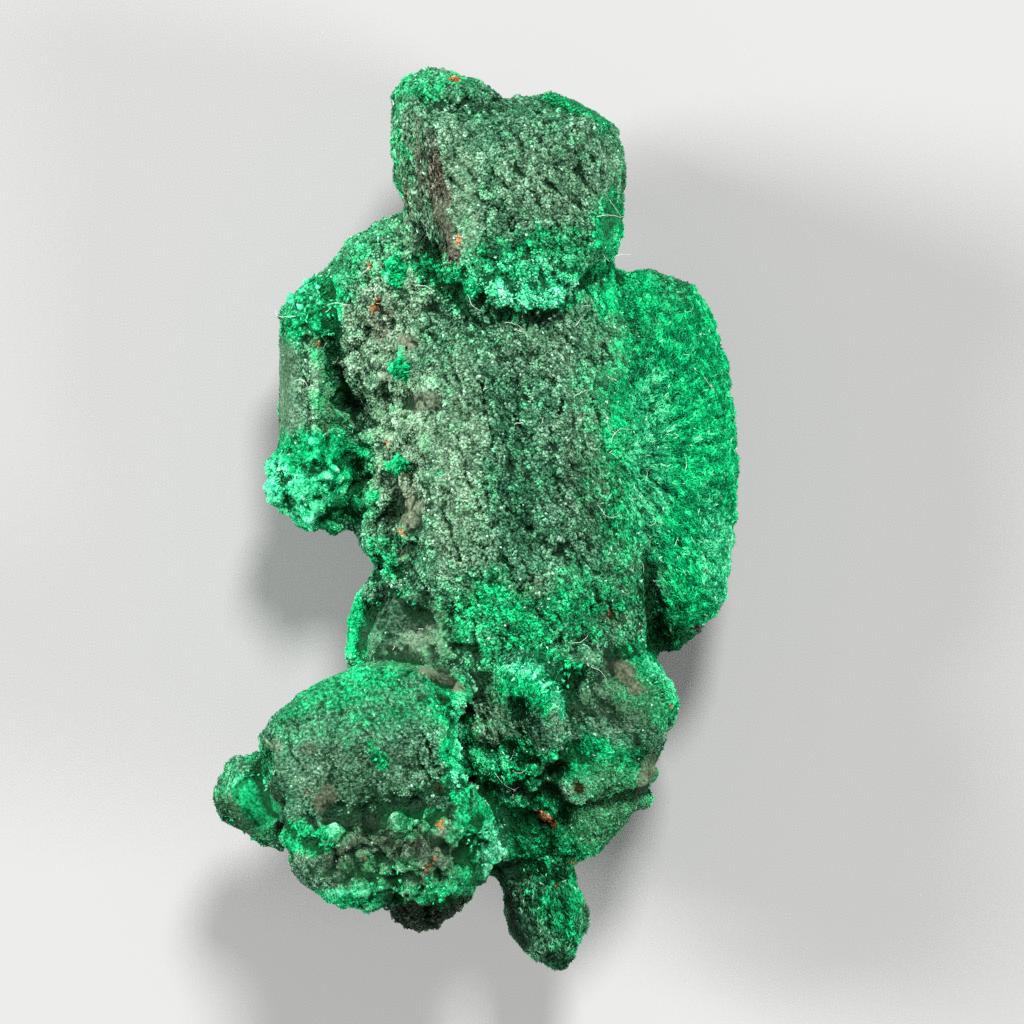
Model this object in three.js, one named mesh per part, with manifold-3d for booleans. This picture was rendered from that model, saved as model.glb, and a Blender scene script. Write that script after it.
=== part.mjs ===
// A hand-sized azurite specimen: a group of blocky crystals, altered to malachite, grown together in one
// piece and lying on its back. +X is the group's right, +Y its top end and +Z the side that faces up.
// Millimetres. The origin is below the middle of the group, on the surface that it rests on.
import * as THREE from 'three';
import { ConvexGeometry } from 'three/addons/geometries/ConvexGeometry.js';
import { ImprovedNoise } from 'three/addons/math/ImprovedNoise.js';
import { mergeVertices } from 'three/addons/utils/BufferGeometryUtils.js';
import Module from 'manifold-3d';

const wasm = await Module();
wasm.setup();

// ---------------------------------------------------------------- driving dimensions

// Heights above the surface that the group rests on.
const TRUNK_FRONT = 15; // broad face of the long middle crystal
const TRUNK_WAIST = 7; // where the middle crystal is widest
const HEAD_FRONT = 17.2; // square face of the top crystal
const HEAD_WAIST = 12;
const FAN_WAIST = 6.6; // thin rim of the fan
const FAN_HALF_DEPTH = 4.7;
const ARM_AXIS = 7.4; // small prism on the left
const BLOCK_FRONT = 19; // upper edge of the lower-left block
const SIDE_FRONT = 12.6; // small flat crystal beside the block
const BASE_FRONT = 12; // lower middle mass
const FOOT_AXIS = 8; // stalk at the lower end

const BUD_CORNERS = 18; // corners of each small rounded crystal
const BUD_ROUGHNESS = 0.4; // how far a bud strays from a ball, as a share of its radius
const FAN_RINGS = 5; // rings from the rim to the middle of the fan, each side
const FAN_FLATNESS = 0.55; // below 1 the fan is flatter in the middle and rounder at its rim
const WELD = 0.05; // corners of the finished solid closer than about this become one
const WORN = [60, 80, 4]; // block of stone worn off below the rest flat

const MALACHITE_GREEN = 0x2f7d5b;

// ---------------------------------------------------------------- shape helpers

const noise = new ImprovedNoise();
const GOLDEN_ANGLE = Math.PI * (3 - Math.sqrt(5));

function middle(outline) {
  const sum = outline.reduce(([sx, sy], [x, y]) => [sx + x, sy + y], [0, 0]);
  return sum.map((value) => value / outline.length);
}

// The [x, y] points of an outline at height z, drawn in towards a centre by a scale.
function ring(outline, z, scale = 1, centre = middle(outline)) {
  const [cx, cy] = centre;
  return outline.map(([x, y]) => [cx + (x - cx) * scale, cy + (y - cy) * scale, z]);
}

// The [x, z] points of a cross-section at y.
function section(y, points) {
  return points.map(([x, z]) => [x, y, z]);
}

// A geometry as a manifold-3d solid.
function solid(geometry) {
  geometry.deleteAttribute('normal');
  geometry.deleteAttribute('uv');
  const merged = mergeVertices(geometry);
  return new wasm.Manifold(new wasm.Mesh({
    numProp: 3,
    vertProperties: merged.getAttribute('position').array,
    triVerts: new Uint32Array(merged.index.array),
  }));
}

// A crystal: the smallest flat-faced solid around rings of [x, y, z] corners.
function crystal(...rings) {
  const corners = rings.flat().map((point) => new THREE.Vector3(...point));
  return solid(new ConvexGeometry(corners));
}

// A small rounded crystal of radius r. Corners spiral over a ball, and noise makes no two alike.
function bud([x, y, z, r]) {
  const corners = [];
  for (let i = 0; i < BUD_CORNERS; i += 1) {
    const up = 1 - (2 * i + 1) / BUD_CORNERS;
    const out = Math.sqrt(1 - up * up);
    const turn = i * GOLDEN_ANGLE + x + y;
    const [dx, dy] = [out * Math.cos(turn), out * Math.sin(turn)];
    const reach = r * (1 + BUD_ROUGHNESS * noise.noise(x + dx, y + dy, z + up));
    corners.push([x + reach * dx, y + reach * dy, z + reach * up]);
  }
  return crystal(corners);
}

function join(solids) {
  return solids.reduce((whole, next) => whole.add(next));
}

function buds(list) {
  return join(list.map(bud));
}

// ---------------------------------------------------------------- upper crystals

// The long middle crystal: a broad gently bowed front face, and a steep left face behind its ridge.
function trunk() {
  return crystal(
    section(15.8, [[-3.3, 13.2], [0, 13.6], [5, 12.6], [7, 10], [6, 3], [-4, 3], [-6, TRUNK_WAIST]]),
    section(11.8, [
      [-2.9, 14.4], [0, TRUNK_FRONT], [5, 14.3], [7.8, 11.6], [8.4, 6], [6, -1], [-4.4, -1], [-6.6, 4],
      [-6.6, 8],
    ]),
    section(5, [
      [-1.9, 14.8], [1.4, TRUNK_FRONT + 0.3], [5, 14.5], [8.8, 11.8], [9.2, 6], [7, -1], [-4.6, -1],
      [-6.4, 4], [-6.4, TRUNK_WAIST],
    ]),
    section(-2.6, [
      [-2.3, 14.2], [1, 14.8], [5, 14], [9, 11.4], [9.3, 6], [7.2, -1], [-3.6, -1], [-5.4, 4],
      [-5.4, TRUNK_WAIST],
    ]),
    section(-7.6, [[-1.6, 12.2], [1, 12.9], [5, 12.6], [9.3, 10.4], [9.3, 5], [6, 0], [-2, 0], [-3.6, 6]]),
  );
}

// The sloping shoulder on the left of the middle crystal.
function shoulder() {
  const outline = [
    [-3.6, 16.8], [-5.2, 16.3], [-6.8, 15.2], [-7.6, 14.3], [-8.2, 13.4], [-8.2, 12], [-7.6, 9.3],
    [-6.8, 6.6], [-4, 6],
  ];
  const inner = [-3.4, 12];
  return crystal(
    [[-3.2, 16.3, 13.2], [-2.9, 11.8, 14.5], [-2, 7.2, 14.7]],
    ring(outline, 10.8, 0.84, inner),
    ring(outline, TRUNK_WAIST),
    ring(outline, 2.6, 0.7, inner),
  );
}

// The knob that swells from the left face below the small left-hand prism.
function leftKnob() {
  const outline = [
    [-5.6, 4.6], [-5.7, 2], [-6.2, 0.4], [-6.3, -0.6], [-6, -1.7], [-5.2, -2.6], [-4.3, -3.9], [-2.6, 0],
  ];
  const inner = [-3.4, 0.4];
  return crystal(ring(outline, 10.8, 0.74, inner), ring(outline, 7.6), ring(outline, 4.2, 0.74, inner));
}

// Drusy knots, ledges and blisters that break up the steep left face.
function leftFaceKnots() {
  return buds([
    [-4, 13.6, 11.8, 0.7], [-5.4, 14.2, 10.2, 0.9], [-6.6, 12.2, 9, 0.9], [-4.6, 11.2, 12, 0.8],
    [-5.6, 9.2, 10.4, 0.9], [-4, 8.6, 12.9, 0.55], [-4.9, 7.2, 11, 0.8], [-3.6, 5.4, 13, 0.7],
    [-5.5, 4.2, 9.2, 0.9], [-4, 3, 12.4, 0.6], [-2.3, 2.4, 14.2, 0.5], [-4.8, 1.2, 10.8, 0.9],
    [-3.4, -0.4, 12.6, 0.8], [-5.3, -1, 9.4, 0.9], [-4, -2.4, 11.6, 0.8], [-3.2, -3.8, 12.4, 0.7],
    [-4.4, -3.6, 9.8, 0.9], [-7.2, 13.2, 7.8, 0.8], [-7.4, 10.4, 7.4, 0.8],
  ]);
}

// The top crystal: a squat block leaning over the front of the middle crystal.
function head() {
  const face = [
    [-1.9, 20.9, HEAD_FRONT], [6.6, 21.1, HEAD_FRONT - 1], [7, 17.1, HEAD_FRONT - 1.3],
    [6.9, 14.8, HEAD_FRONT - 1.7], [6.1, 14, HEAD_FRONT - 1.7], [-0.2, 13.2, HEAD_FRONT - 1],
    [-1, 13.9, HEAD_FRONT - 0.7], [2.4, 17.6, HEAD_FRONT + 0.15],
  ];
  const waist = [
    [-4.4, 19.9], [-4.3, 21.6], [-4, 22.6], [1.6, 22.8], [5.2, 22.7], [6.3, 22.2], [7.6, 21.3], [8.1, 20.1],
    [8.2, 19], [8, 15.4], [7.6, 14.1], [7, 13.3], [5.1, 12.7], [0.3, 12.7], [-1.7, 14.2], [-3.5, 16.6],
    [-4.3, 18.4],
  ];
  return crystal(face, ring(waist, HEAD_WAIST), ring(waist, 6, 0.92), ring(waist, 3.4, 0.64));
}

// A second crystal stands a little proud at the top left of the head.
function crown() {
  const outline = [
    [-4.3, 22], [-4.2, 23], [-3.7, 23.9], [-2.5, 24.3], [-1.2, 24.3], [-0.3, 23.8], [0.7, 23.5], [1.4, 23],
    [2, 22], [0, 19], [-4.2, 19.4],
  ];
  return crystal(
    ring(outline, HEAD_WAIST + 2.4, 0.76, [-1.2, 20.6]),
    ring(outline, HEAD_WAIST - 0.6),
    ring(outline, HEAD_WAIST - 4.6, 0.8),
  );
}

// The thin plate that caps the top right of the head.
function capPlate() {
  const outline = [
    [2.5, 22.5], [3, 22.9], [3.9, 23], [5.4, 22.7], [6.6, 22.1], [7.6, 21.1], [6.4, 19.6], [3, 20.6],
  ];
  return crystal(ring(outline, 11.8, 0.84), ring(outline, 10.4), ring(outline, 8.6, 0.86));
}

// The skirt of small crystals that hangs from the lower edge of the head.
function lip() {
  const edge = [
    [-1.5, 13.7], [-0.6, 12.9], [0.4, 12.1], [1.5, 11.6], [2.6, 11.3], [3.8, 11.3], [4.7, 11.6],
    [5.5, 12.8],
  ];
  const skirt = crystal(
    [[-1.6, 14.4, 16], [2.6, 13.7, 16.3], [6.4, 14.6, 15.3]],
    ring(edge, 15.3),
    [[-1, 14, 12], [0.6, 12.8, 12.4], [4.4, 12.4, 12.2], [6.4, 14, 12]],
  );
  const fringe = buds([
    [-0.9, 13.4, 15.5, 0.6], [0.2, 12.6, 15.7, 0.6], [1.4, 12, 15.8, 0.65], [2.7, 11.8, 15.8, 0.7],
    [4, 11.9, 15.6, 0.7], [5, 12.8, 15.3, 0.6],
  ]);
  return skirt.add(fringe);
}

// The fan: a thin-rimmed lens of radiating fibres on the right.
function fan() {
  const rim = [
    [7.3, 13.4], [9.5, 13.7], [10.7, 13.3], [11.9, 12.7], [12.7, 11.7], [13.7, 8.6], [14.15, 5.5],
    [14.3, 2.2], [14.1, -0.8], [13.7, -3.7], [13.2, -5], [12.2, -5.9], [11, -6.3], [9.5, -5], [6.5, -2.4],
  ];
  const heart = [8.4, 3.8];
  const rings = [];
  for (let step = -FAN_RINGS; step <= FAN_RINGS; step += 1) {
    const angle = (step / FAN_RINGS) * (Math.PI / 2) * 0.9;
    const height = FAN_WAIST + FAN_HALF_DEPTH * Math.sin(angle);
    rings.push(ring(rim, height, Math.cos(angle) ** FAN_FLATNESS, heart));
  }
  return crystal(...rings);
}

// A dark stub under the lower tip of the fan.
function fanStub() {
  const outline = [
    [9.5, -4.2], [9.5, -6.3], [10.2, -6.9], [10.9, -7.1], [11.6, -6.6], [12.4, -6], [12, -4.4],
  ];
  return crystal(ring(outline, 7.2, 0.7), ring(outline, 5.6), ring(outline, 3.6, 0.7));
}

// The small prism on the left, with a cluster of buds at each end.
function arm() {
  const shaft = [
    [-10.6, ARM_AXIS - 0.4], [-9.9, ARM_AXIS + 1.9], [-8.4, ARM_AXIS + 2.4], [-7.4, ARM_AXIS + 1],
    [-7.5, ARM_AXIS - 1.8], [-9.4, ARM_AXIS - 2.4],
  ];
  const prism = crystal(section(11.2, shaft), section(3.4, shaft));
  const topBuds = buds([
    [-9, 12, 8, 1], [-8, 12, 8.9, 0.95], [-7.4, 11.2, 9, 1], [-9.7, 11, 7.6, 0.95], [-8.4, 12.8, 7, 0.85],
    [-9.2, 10.8, 9.2, 0.7], [-8.3, 10.6, 9.6, 0.75], [-10, 10.4, 6.4, 0.8], [-7.6, 10, 8.8, 0.8],
    [-8.8, 11.8, 6, 0.9],
  ]);
  const lowerBuds = buds([
    [-10.3, 1.9, 7.4, 1.1], [-9.6, 3.3, 8.4, 1], [-9, 2, 9, 1.1], [-8.7, 0.8, 8.6, 1], [-7.7, 2.4, 9, 1.05],
    [-7.1, 4.2, 8.8, 0.95], [-7.9, 0.6, 7.6, 0.95], [-9.7, 0.8, 7.2, 0.85], [-10.7, 2.9, 6.8, 0.7],
    [-7.1, 1.3, 7.8, 0.95], [-8.3, 4, 9.4, 0.85], [-6.8, 5.2, 8, 0.75], [-6.7, 2.8, 7.6, 1],
    [-10, 0.9, 5.9, 0.8], [-8.8, 0.2, 6.6, 0.9], [-8.8, 3, 6, 1.2], [-7.6, -0.1, 7.4, 0.8],
    [-8.6, 0, 7.6, 0.75],
  ]);
  return join([prism, topBuds, lowerBuds]);
}

// ---------------------------------------------------------------- lower crystals

// The large block at the lower left, with its lens-shaped top slope and its flat front.
function block() {
  const slope = [
    [-11.4, -11.5], [-10.9, -10.6], [-9.3, -9.3], [-7.2, -8.1], [-5.6, -7.5], [-4, -7.4], [-2.4, -7.9],
    [-1.3, -9], [-0.9, -10.6],
  ];
  const shell = crystal(
    ring(slope, BLOCK_FRONT - 4.6),
    ring(slope, BLOCK_FRONT - 2.4, 0.94, [-6, -12.5]),
    [[-10.4, -11.9, BLOCK_FRONT - 1.6], [-6.2, -11.6, BLOCK_FRONT], [-1.5, -11.3, BLOCK_FRONT - 0.7]],
    [[-10.1, -15.4, BLOCK_FRONT - 2.2], [-8.9, -16.6, BLOCK_FRONT - 2.2], [-1.3, -15.4, BLOCK_FRONT - 1.6]],
    [[-11.3, -12, BLOCK_FRONT - 4], [-10.9, -15.6, BLOCK_FRONT - 5], [-9, -17, BLOCK_FRONT - 6]],
    [[-0.8, -12, BLOCK_FRONT - 4], [-1.1, -16, BLOCK_FRONT - 5]],
    [[-10.6, -12, 8.4], [-8, -9.6, 8], [-3.6, -8.8, 8], [-1.4, -11, 8], [-1.4, -15.4, 8.4], [-8.6, -16, 9]],
  );
  const knots = buds([
    [-5, -12.1, 18.6, 0.6], [-1, -9.7, 16.2, 0.8], [-0.7, -8.9, 14.4, 0.9], [-1, -13.4, 17, 0.7],
  ]);
  return shell.add(knots);
}

// The small flat crystal leaning on the left of the block.
function sideCrystal() {
  const outline = [
    [-10.4, -12.2], [-12.1, -12.7], [-12.7, -12.7], [-13.5, -13.2], [-14.1, -14.8], [-13.7, -16.1],
    [-12.4, -16.8], [-11.3, -17.5], [-10.2, -17.9],
  ];
  return crystal(
    [
      [-10.6, -12.9, SIDE_FRONT + 0.6], [-12.5, -13.3, SIDE_FRONT - 0.4], [-13.1, -15, SIDE_FRONT - 0.7],
      [-10.6, -16.2, SIDE_FRONT],
    ],
    ring(outline, SIDE_FRONT - 2.4),
    ring(outline, SIDE_FRONT - 5, 0.78, [-10, -15]),
  );
}

// A blade and a smooth tablet stand behind the block, beside the foot of the middle crystal.
function backCrystals() {
  const blade = [[-5.5, -2.9], [-6.2, -3.9], [-6.7, -5.2], [-6.9, -8], [-5, -9], [-4.2, -3.4]];
  const tablet = [
    [-5.1, -4.9], [-4.2, -4.2], [-2.3, -4], [-1.3, -4.7], [-1, -6.4], [-1.2, -8.4], [-5.7, -8.4],
    [-5.6, -6.2],
  ];
  return join([
    crystal(ring(blade, 9, 0.84), ring(blade, 5.8), ring(blade, 2, 0.7)),
    crystal(ring(tablet, 12.4, 0.93), ring(tablet, 11.8), ring(tablet, 3)),
    bud([-2.9, -4.2, 12.6, 0.5]),
    bud([-5.3, -3.9, 9.6, 0.7]),
    bud([-4.2, -3.3, 11.8, 0.7]),
  ]);
}

// The cluster of rounded crystals in front, below the block.
function cluster() {
  const shell = [
    [-9.9, -18.2], [-9.6, -17.2], [-7.6, -16.4], [-5.6, -16.9], [-4.3, -18.2], [-4.2, -20.1], [-5.3, -20.5],
    [-6.9, -20.6], [-7.7, -20.2], [-9.2, -19.3],
  ];
  const lens = [
    [-1.6, -14.2], [-0.5, -13.7], [0.5, -14.4], [1.2, -15.8], [1.5, -17], [1.5, -17.8], [1, -18.7],
    [0.1, -19.7], [-1, -20.3], [-2.2, -19.4],
  ];
  return join([
    crystal(ring(shell, 17.8, 0.6), ring(shell, 16.6, 0.92), ring(shell, 14.6), ring(shell, 12, 0.7)),
    crystal(ring(lens, 17.2, 0.7), ring(lens, 15.4), ring(lens, 11.4, 0.7)),
    buds([
      [-9.2, -16.8, 16, 1.1], [-8.1, -16.6, 16.8, 0.8], [-7.2, -17.2, 17.4, 1.1], [-6.2, -16.9, 17.6, 0.8],
      [-4.9, -17, 17.4, 1], [-4.6, -18.9, 17, 1], [-5.4, -19.6, 16, 1.1], [-4.2, -19.8, 15.4, 1],
      [-3.9, -16.4, 17.8, 0.9], [-2.8, -16.6, 18.6, 1.2], [-3.6, -17.7, 18.4, 1.1],
      [-2.3, -17.9, 18.8, 1.1], [-2, -19, 17.6, 1.5], [-3.3, -19.2, 17, 1.1], [-1.3, -16.2, 18.2, 1],
      [-0.9, -15, 17.6, 1], [-1.9, -15.2, 18, 0.8], [-0.4, -14.2, 16.8, 0.75], [-1.4, -13.6, 17.2, 0.7],
      [0.4, -16.4, 17.2, 0.9], [0.6, -17.6, 16.6, 0.9], [-2.4, -14.9, 17.6, 0.6],
    ]),
  ]);
}

// The dark lobe tucked under the cluster.
function lowerLobe() {
  const outline = [
    [-4.9, -20.2], [-4.2, -21.4], [-3.2, -21.9], [-2, -21.8], [-0.9, -21], [0.1, -20.1], [-0.6, -17.6],
    [-4.4, -17.6],
  ];
  return crystal(ring(outline, 15, 0.78), ring(outline, 13.2), ring(outline, 10.6, 0.7));
}

// The lower middle mass: its body, a facing plate with a raised crest, a wing, folds and a ring-shaped knob.
function base() {
  const outline = [
    [9.3, -6.4], [10, -7.5], [10.8, -8.6], [11.2, -9.6], [11.1, -10.5], [10.3, -11.6], [9.7, -13.3],
    [9.2, -14.8], [8.6, -16], [7.8, -17], [6.8, -17.9], [5.6, -18.5], [1.9, -19], [-2, -17], [-3.6, -12],
    [-3.4, -6.6],
  ];
  const wing = [
    [5.4, -7.4], [8.9, -6.9], [10.2, -8.2], [11.1, -9.6], [9.7, -12], [7.8, -11.6], [4.8, -10.6],
  ];
  const crest = [
    [0.7, -7.8], [2.2, -7.4], [3.5, -7.6], [4.5, -8.6], [4.9, -10], [5, -11.7], [4.3, -13], [2.6, -12.2],
    [1, -9.6],
  ];
  const plate = [[4.6, -10.6], [6.2, -10.4], [8.3, -11.4], [9.5, -12.4], [6.7, -13], [4.8, -12.2]];
  const step = [[4.4, -12], [6.4, -12.6], [9.4, -13], [9.4, -14.2], [6.4, -15], [4.6, -14.6]];
  const apron = [[4.6, -14.8], [6.7, -14.6], [9, -15], [8, -16.6], [6.2, -17.9], [4.4, -17.8]];
  const knobRing = new THREE.TorusGeometry(0.62, 0.34, 6, 10);
  knobRing.translate(5.6, -14.3, 12.7);
  return join([
    crystal(
      ring(outline, BASE_FRONT - 1, 0.55, [4, -11]),
      ring(outline, 9.8, 0.88, [4, -11.6]),
      ring(outline, 7.2),
      ring(outline, 2.6, 0.84, [3.4, -11]),
      ring(outline, -1, 0.6, [3, -10]),
    ),
    crystal(ring(wing, 11.9, 0.82), ring(wing, 10), ring(wing, 7, 0.86)),
    crystal([[3.4, -8.4, 14.6], [4.2, -9.8, 14.8], [4.2, -11.6, 14.2]], ring(crest, 13.2), ring(crest, 9)),
    crystal([[5.2, -11, 13.2], [8.6, -12, 12.2]], ring(plate, 12.2), ring(plate, 8)),
    crystal([[5.4, -13, 12.9], [8.4, -13.3, 11.6]], ring(step, 11.6), ring(step, 7)),
    crystal([[5.6, -15.6, 11.6], [7.4, -15.8, 10.8]], ring(apron, 10.2), ring(apron, 6)),
    solid(knobRing),
    buds([
      [0.9, -9.4, 12.6, 1.2], [1.4, -11, 12.4, 1.1], [0.1, -8.2, 12.4, 0.9], [0.4, -11.2, 12, 1],
      [1.9, -13.3, 11.8, 1.1], [3.2, -13.6, 11.8, 1], [0.6, -13, 11.4, 1.1], [5.4, -14.2, 11.8, 1],
      [6.4, -14.2, 11.9, 0.9], [1.6, -15, 10.4, 1], [0.9, -17.4, 9.4, 1.2], [4.4, -18, 8.8, 1],
      [8.9, -15, 8.6, 0.8], [9.4, -13.6, 8.8, 0.7], [6.2, -7.4, 12, 0.8],
    ]),
  ]);
}

// The small stalk at the lower end, and the neck that carries it.
function foot() {
  const outline = [
    [1.3, -18.9], [1.5, -20], [1.7, -21.1], [2, -22.3], [2.8, -23.3], [3.8, -24], [4.6, -24.3],
    [5.2, -23.9], [5.7, -23], [6.2, -21.9], [6.2, -20.8], [5.8, -19.9], [5.3, -18.8],
  ];
  const neck = [[0.4, -19], [1.2, -19.5], [2.6, -20.3], [5, -19.6], [5.6, -18], [4, -15], [1, -15]];
  return join([
    crystal(
      ring(outline, FOOT_AXIS + 2.2, 0.72),
      ring(outline, FOOT_AXIS),
      ring(outline, FOOT_AXIS - 2.4, 0.72),
    ),
    crystal(
      ring(neck, FOOT_AXIS + 1, 0.8),
      ring(neck, FOOT_AXIS - 1),
      ring(neck, FOOT_AXIS - 4, 0.8),
    ),
    bud([5.3, -21.6, FOOT_AXIS, 0.95]),
    bud([4.6, -23.1, FOOT_AXIS - 0.4, 0.8]),
    bud([3.4, -20.2, FOOT_AXIS + 1.8, 1]),
  ]);
}

// The dark sparkling hollow beside the folds, and the bore of the ring-shaped knob.
function hollows() {
  return buds([[2.9, -16.4, 11.6, 1.9], [2.2, -10.2, 14, 0.9], [5.5, -14.3, 13.2, 0.5]]);
}

// Crystals on the hidden side: a tablet, a prism end and buds around the worn flat.
function backSide() {
  const tablet = [[-5.4, 12.6], [-2, 15.2], [3, 15.4], [5.6, 12], [4.6, 7.8], [-3.4, 7.6]];
  const prismEnd = [[2.6, -1], [6.8, -0.4], [7.8, -4.6], [5.8, -7.4], [2.4, -6.6]];
  return join([
    crystal(ring(tablet, 4), ring(tablet, 1.2), ring(tablet, -1, 0.9)),
    crystal(ring(prismEnd, 4), ring(prismEnd, 1.4), ring(prismEnd, -1, 0.86)),
    buds([
      [-4.4, 3.4, 2.2, 1.7], [-4.9, 1, 3, 1.5], [-3.8, 5.4, 1.8, 1.5], [7.4, 7.8, 2.4, 1.9],
      [7.8, 5.2, 2.2, 1.6], [6.8, 10, 2.8, 1.6], [1.4, -15.4, 3, 2.2], [4.4, -15.8, 3.4, 2.2],
      [-2.6, -9.6, 3.6, 2], [-3, -12.6, 4.6, 2], [2.4, 21.4, 4.4, 1.6], [4.8, 20.6, 4.2, 1.8],
      [5.4, 17.4, 3.8, 1.7], [-1.6, 20, 4.2, 1.7], [-4.6, -14, 8, 1.8], [-7.2, -12.4, 8, 1.7],
      [-6, -15, 9, 1.9],
    ]),
  ]);
}

// ---------------------------------------------------------------- the whole group

// What is worn off below the rest flat.
function wornAway() {
  const geometry = new THREE.BoxGeometry(...WORN);
  geometry.translate(0, 0, -WORN[2] / 2);
  return solid(geometry);
}

// Corners that joining left in one cell of a fine grid become one, and the faces that collapse are dropped.
function weld(geometry) {
  const merged = mergeVertices(geometry, WELD);
  const index = merged.index.array;
  const faces = new Map();
  for (let i = 0; i < index.length; i += 3) {
    const face = [...index.slice(i, i + 3)];
    if (new Set(face).size < 3) continue;
    const key = face.toSorted((a, b) => a - b).join();
    if (faces.has(key)) faces.delete(key);
    else faces.set(key, face);
  }
  merged.setIndex([...faces.values()].flat());
  return merged;
}

// The solid's surface as a three.js geometry, moved so that the group stands centred over the origin.
function surface(whole) {
  const mesh = whole.getMesh();
  const joined = new THREE.BufferGeometry();
  joined.setAttribute('position', new THREE.BufferAttribute(mesh.vertProperties, 3));
  joined.setIndex(new THREE.BufferAttribute(mesh.triVerts, 1));
  const geometry = weld(joined);
  geometry.computeBoundingBox();
  const { min, max } = geometry.boundingBox;
  geometry.translate(-(min.x + max.x) / 2, -(min.y + max.y) / 2, -min.z);
  geometry.computeVertexNormals();
  return geometry;
}

const grown = join([
  trunk(), shoulder(), leftKnob(), leftFaceKnots(),
  head(), crown(), capPlate(), lip(),
  fan(), fanStub(), arm(),
  block(), sideCrystal(), backCrystals(),
  cluster(), lowerLobe(), base(), foot(), backSide(),
]);
const cut = grown.subtract(hollows()).subtract(wornAway());

// Sealed gaps between the crystals come out as shells of their own, and are left out.
const finished = cut.decompose().reduce((best, next) => (next.volume() > best.volume() ? next : best));

const malachite = new THREE.MeshStandardMaterial({
  color: MALACHITE_GREEN,
  roughness: 0.85,
  metalness: 0,
  flatShading: true,
});

const specimen = new THREE.Mesh(surface(finished), malachite);
specimen.name = 'azurite_specimen';

const group = new THREE.Group();
group.add(specimen);

export default group;
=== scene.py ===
import math

import bpy
import numpy as np
from mathutils import Matrix, Vector
from mathutils.kdtree import KDTree


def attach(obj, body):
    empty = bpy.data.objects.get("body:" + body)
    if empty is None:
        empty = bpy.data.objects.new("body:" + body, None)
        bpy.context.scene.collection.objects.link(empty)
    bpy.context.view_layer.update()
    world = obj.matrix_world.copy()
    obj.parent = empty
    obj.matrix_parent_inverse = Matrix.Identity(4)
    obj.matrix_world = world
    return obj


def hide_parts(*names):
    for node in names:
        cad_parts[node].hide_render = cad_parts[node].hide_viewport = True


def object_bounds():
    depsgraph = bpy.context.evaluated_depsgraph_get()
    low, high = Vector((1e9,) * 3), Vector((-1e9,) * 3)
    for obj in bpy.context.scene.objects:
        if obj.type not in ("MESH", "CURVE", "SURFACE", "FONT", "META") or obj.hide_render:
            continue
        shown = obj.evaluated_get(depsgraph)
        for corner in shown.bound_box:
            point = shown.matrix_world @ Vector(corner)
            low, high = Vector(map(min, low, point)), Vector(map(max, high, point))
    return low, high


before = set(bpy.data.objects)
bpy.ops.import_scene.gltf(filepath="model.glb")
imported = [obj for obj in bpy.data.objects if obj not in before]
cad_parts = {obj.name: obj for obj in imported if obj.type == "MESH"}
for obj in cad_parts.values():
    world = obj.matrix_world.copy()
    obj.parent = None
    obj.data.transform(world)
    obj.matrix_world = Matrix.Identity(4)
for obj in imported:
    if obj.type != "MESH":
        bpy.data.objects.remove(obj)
cad_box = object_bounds()

# Looks of the azurite specimen: a group of blocky crystals altered to malachite, lying on its back on a pale
# floor. One remeshed and weathered rock surface stands for the CAD solid. A druse of tiny crystals, tufts of
# blades and a few loose fibres grow on it. All work is done in millimetres from the point on the floor below
# the middle of the specimen's box.

MM = 0.001
NODE = "azurite_specimen"
BODY = "root"

low, high = (np.array(corner) / MM for corner in cad_box)
middle = np.array([(low[0] + high[0]) / 2, (low[1] + high[1]) / 2, low[2]])
size = high - low

QUAD = 0.155  # side of the quads that the rock surface is worked out on
ROCK_TRIANGLES = 196000  # what is kept of the rock surface
CLEFT = 0.38  # half the width of the clefts that are grown over
ROUNDING = 2  # rounds of smoothing that wear the solid's edges
GROWTH_LIMIT = 0.6  # how far anything may stand out of the solid's box
GRAIN_WIDTH = 0.44  # the crust's grains, knobs and blobs
KNOB_WIDTH = 1.3
BLOB_WIDTH = 2.0
FACE_DEPTH = 0.22  # how deep the small flat crystal's smooth face lies
CONTACT = 0.1  # the rock stays flat on the floor below this height
CRYSTAL_BUDGET = 186000  # druse crystals, four triangles each
FRONT_SHARE = 2.1  # how much denser the druse is on the side that faces up

rng = np.random.default_rng(11)


# ---- noise

GRADIENTS = np.random.default_rng(5).normal(size=(256, 3))
GRADIENTS /= np.linalg.norm(GRADIENTS, axis=1, keepdims=True)
OFFSETS = np.random.default_rng(6).random((256, 3))
CELL_FACTORS = np.array([73856093, 19349663, 83492791])


def hashed(cells, seed):
    """A number from 0 to 255 for each whole-numbered cell."""
    mixed = (cells * CELL_FACTORS).sum(axis=-1) + seed * 668265263
    mixed ^= mixed >> 13
    mixed *= 1274126177
    mixed ^= mixed >> 15
    return mixed & 255


def noise(points, scale, seed=0):
    """Smooth noise from about -1 to 1 whose lumps are about scale millimetres wide."""
    scaled = points / scale
    cell = np.floor(scaled).astype(np.int64)
    part = scaled - cell
    fade = part**3 * (part * (part * 6 - 15) + 10)
    total = np.zeros(len(points))
    for corner in np.ndindex(2, 2, 2):
        gradient = GRADIENTS[hashed(cell + corner, seed)]
        weight = np.prod(np.where(corner, fade, 1 - fade), axis=1)
        total += weight * ((part - corner) * gradient).sum(axis=1)
    return total * 1.6


def fractal(points, scale, octaves=3, seed=0):
    """Noise with finer and weaker noise added."""
    return sum(
        noise(points, scale / 2**octave, seed + octave) / 2**octave for octave in range(octaves)
    )


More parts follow.
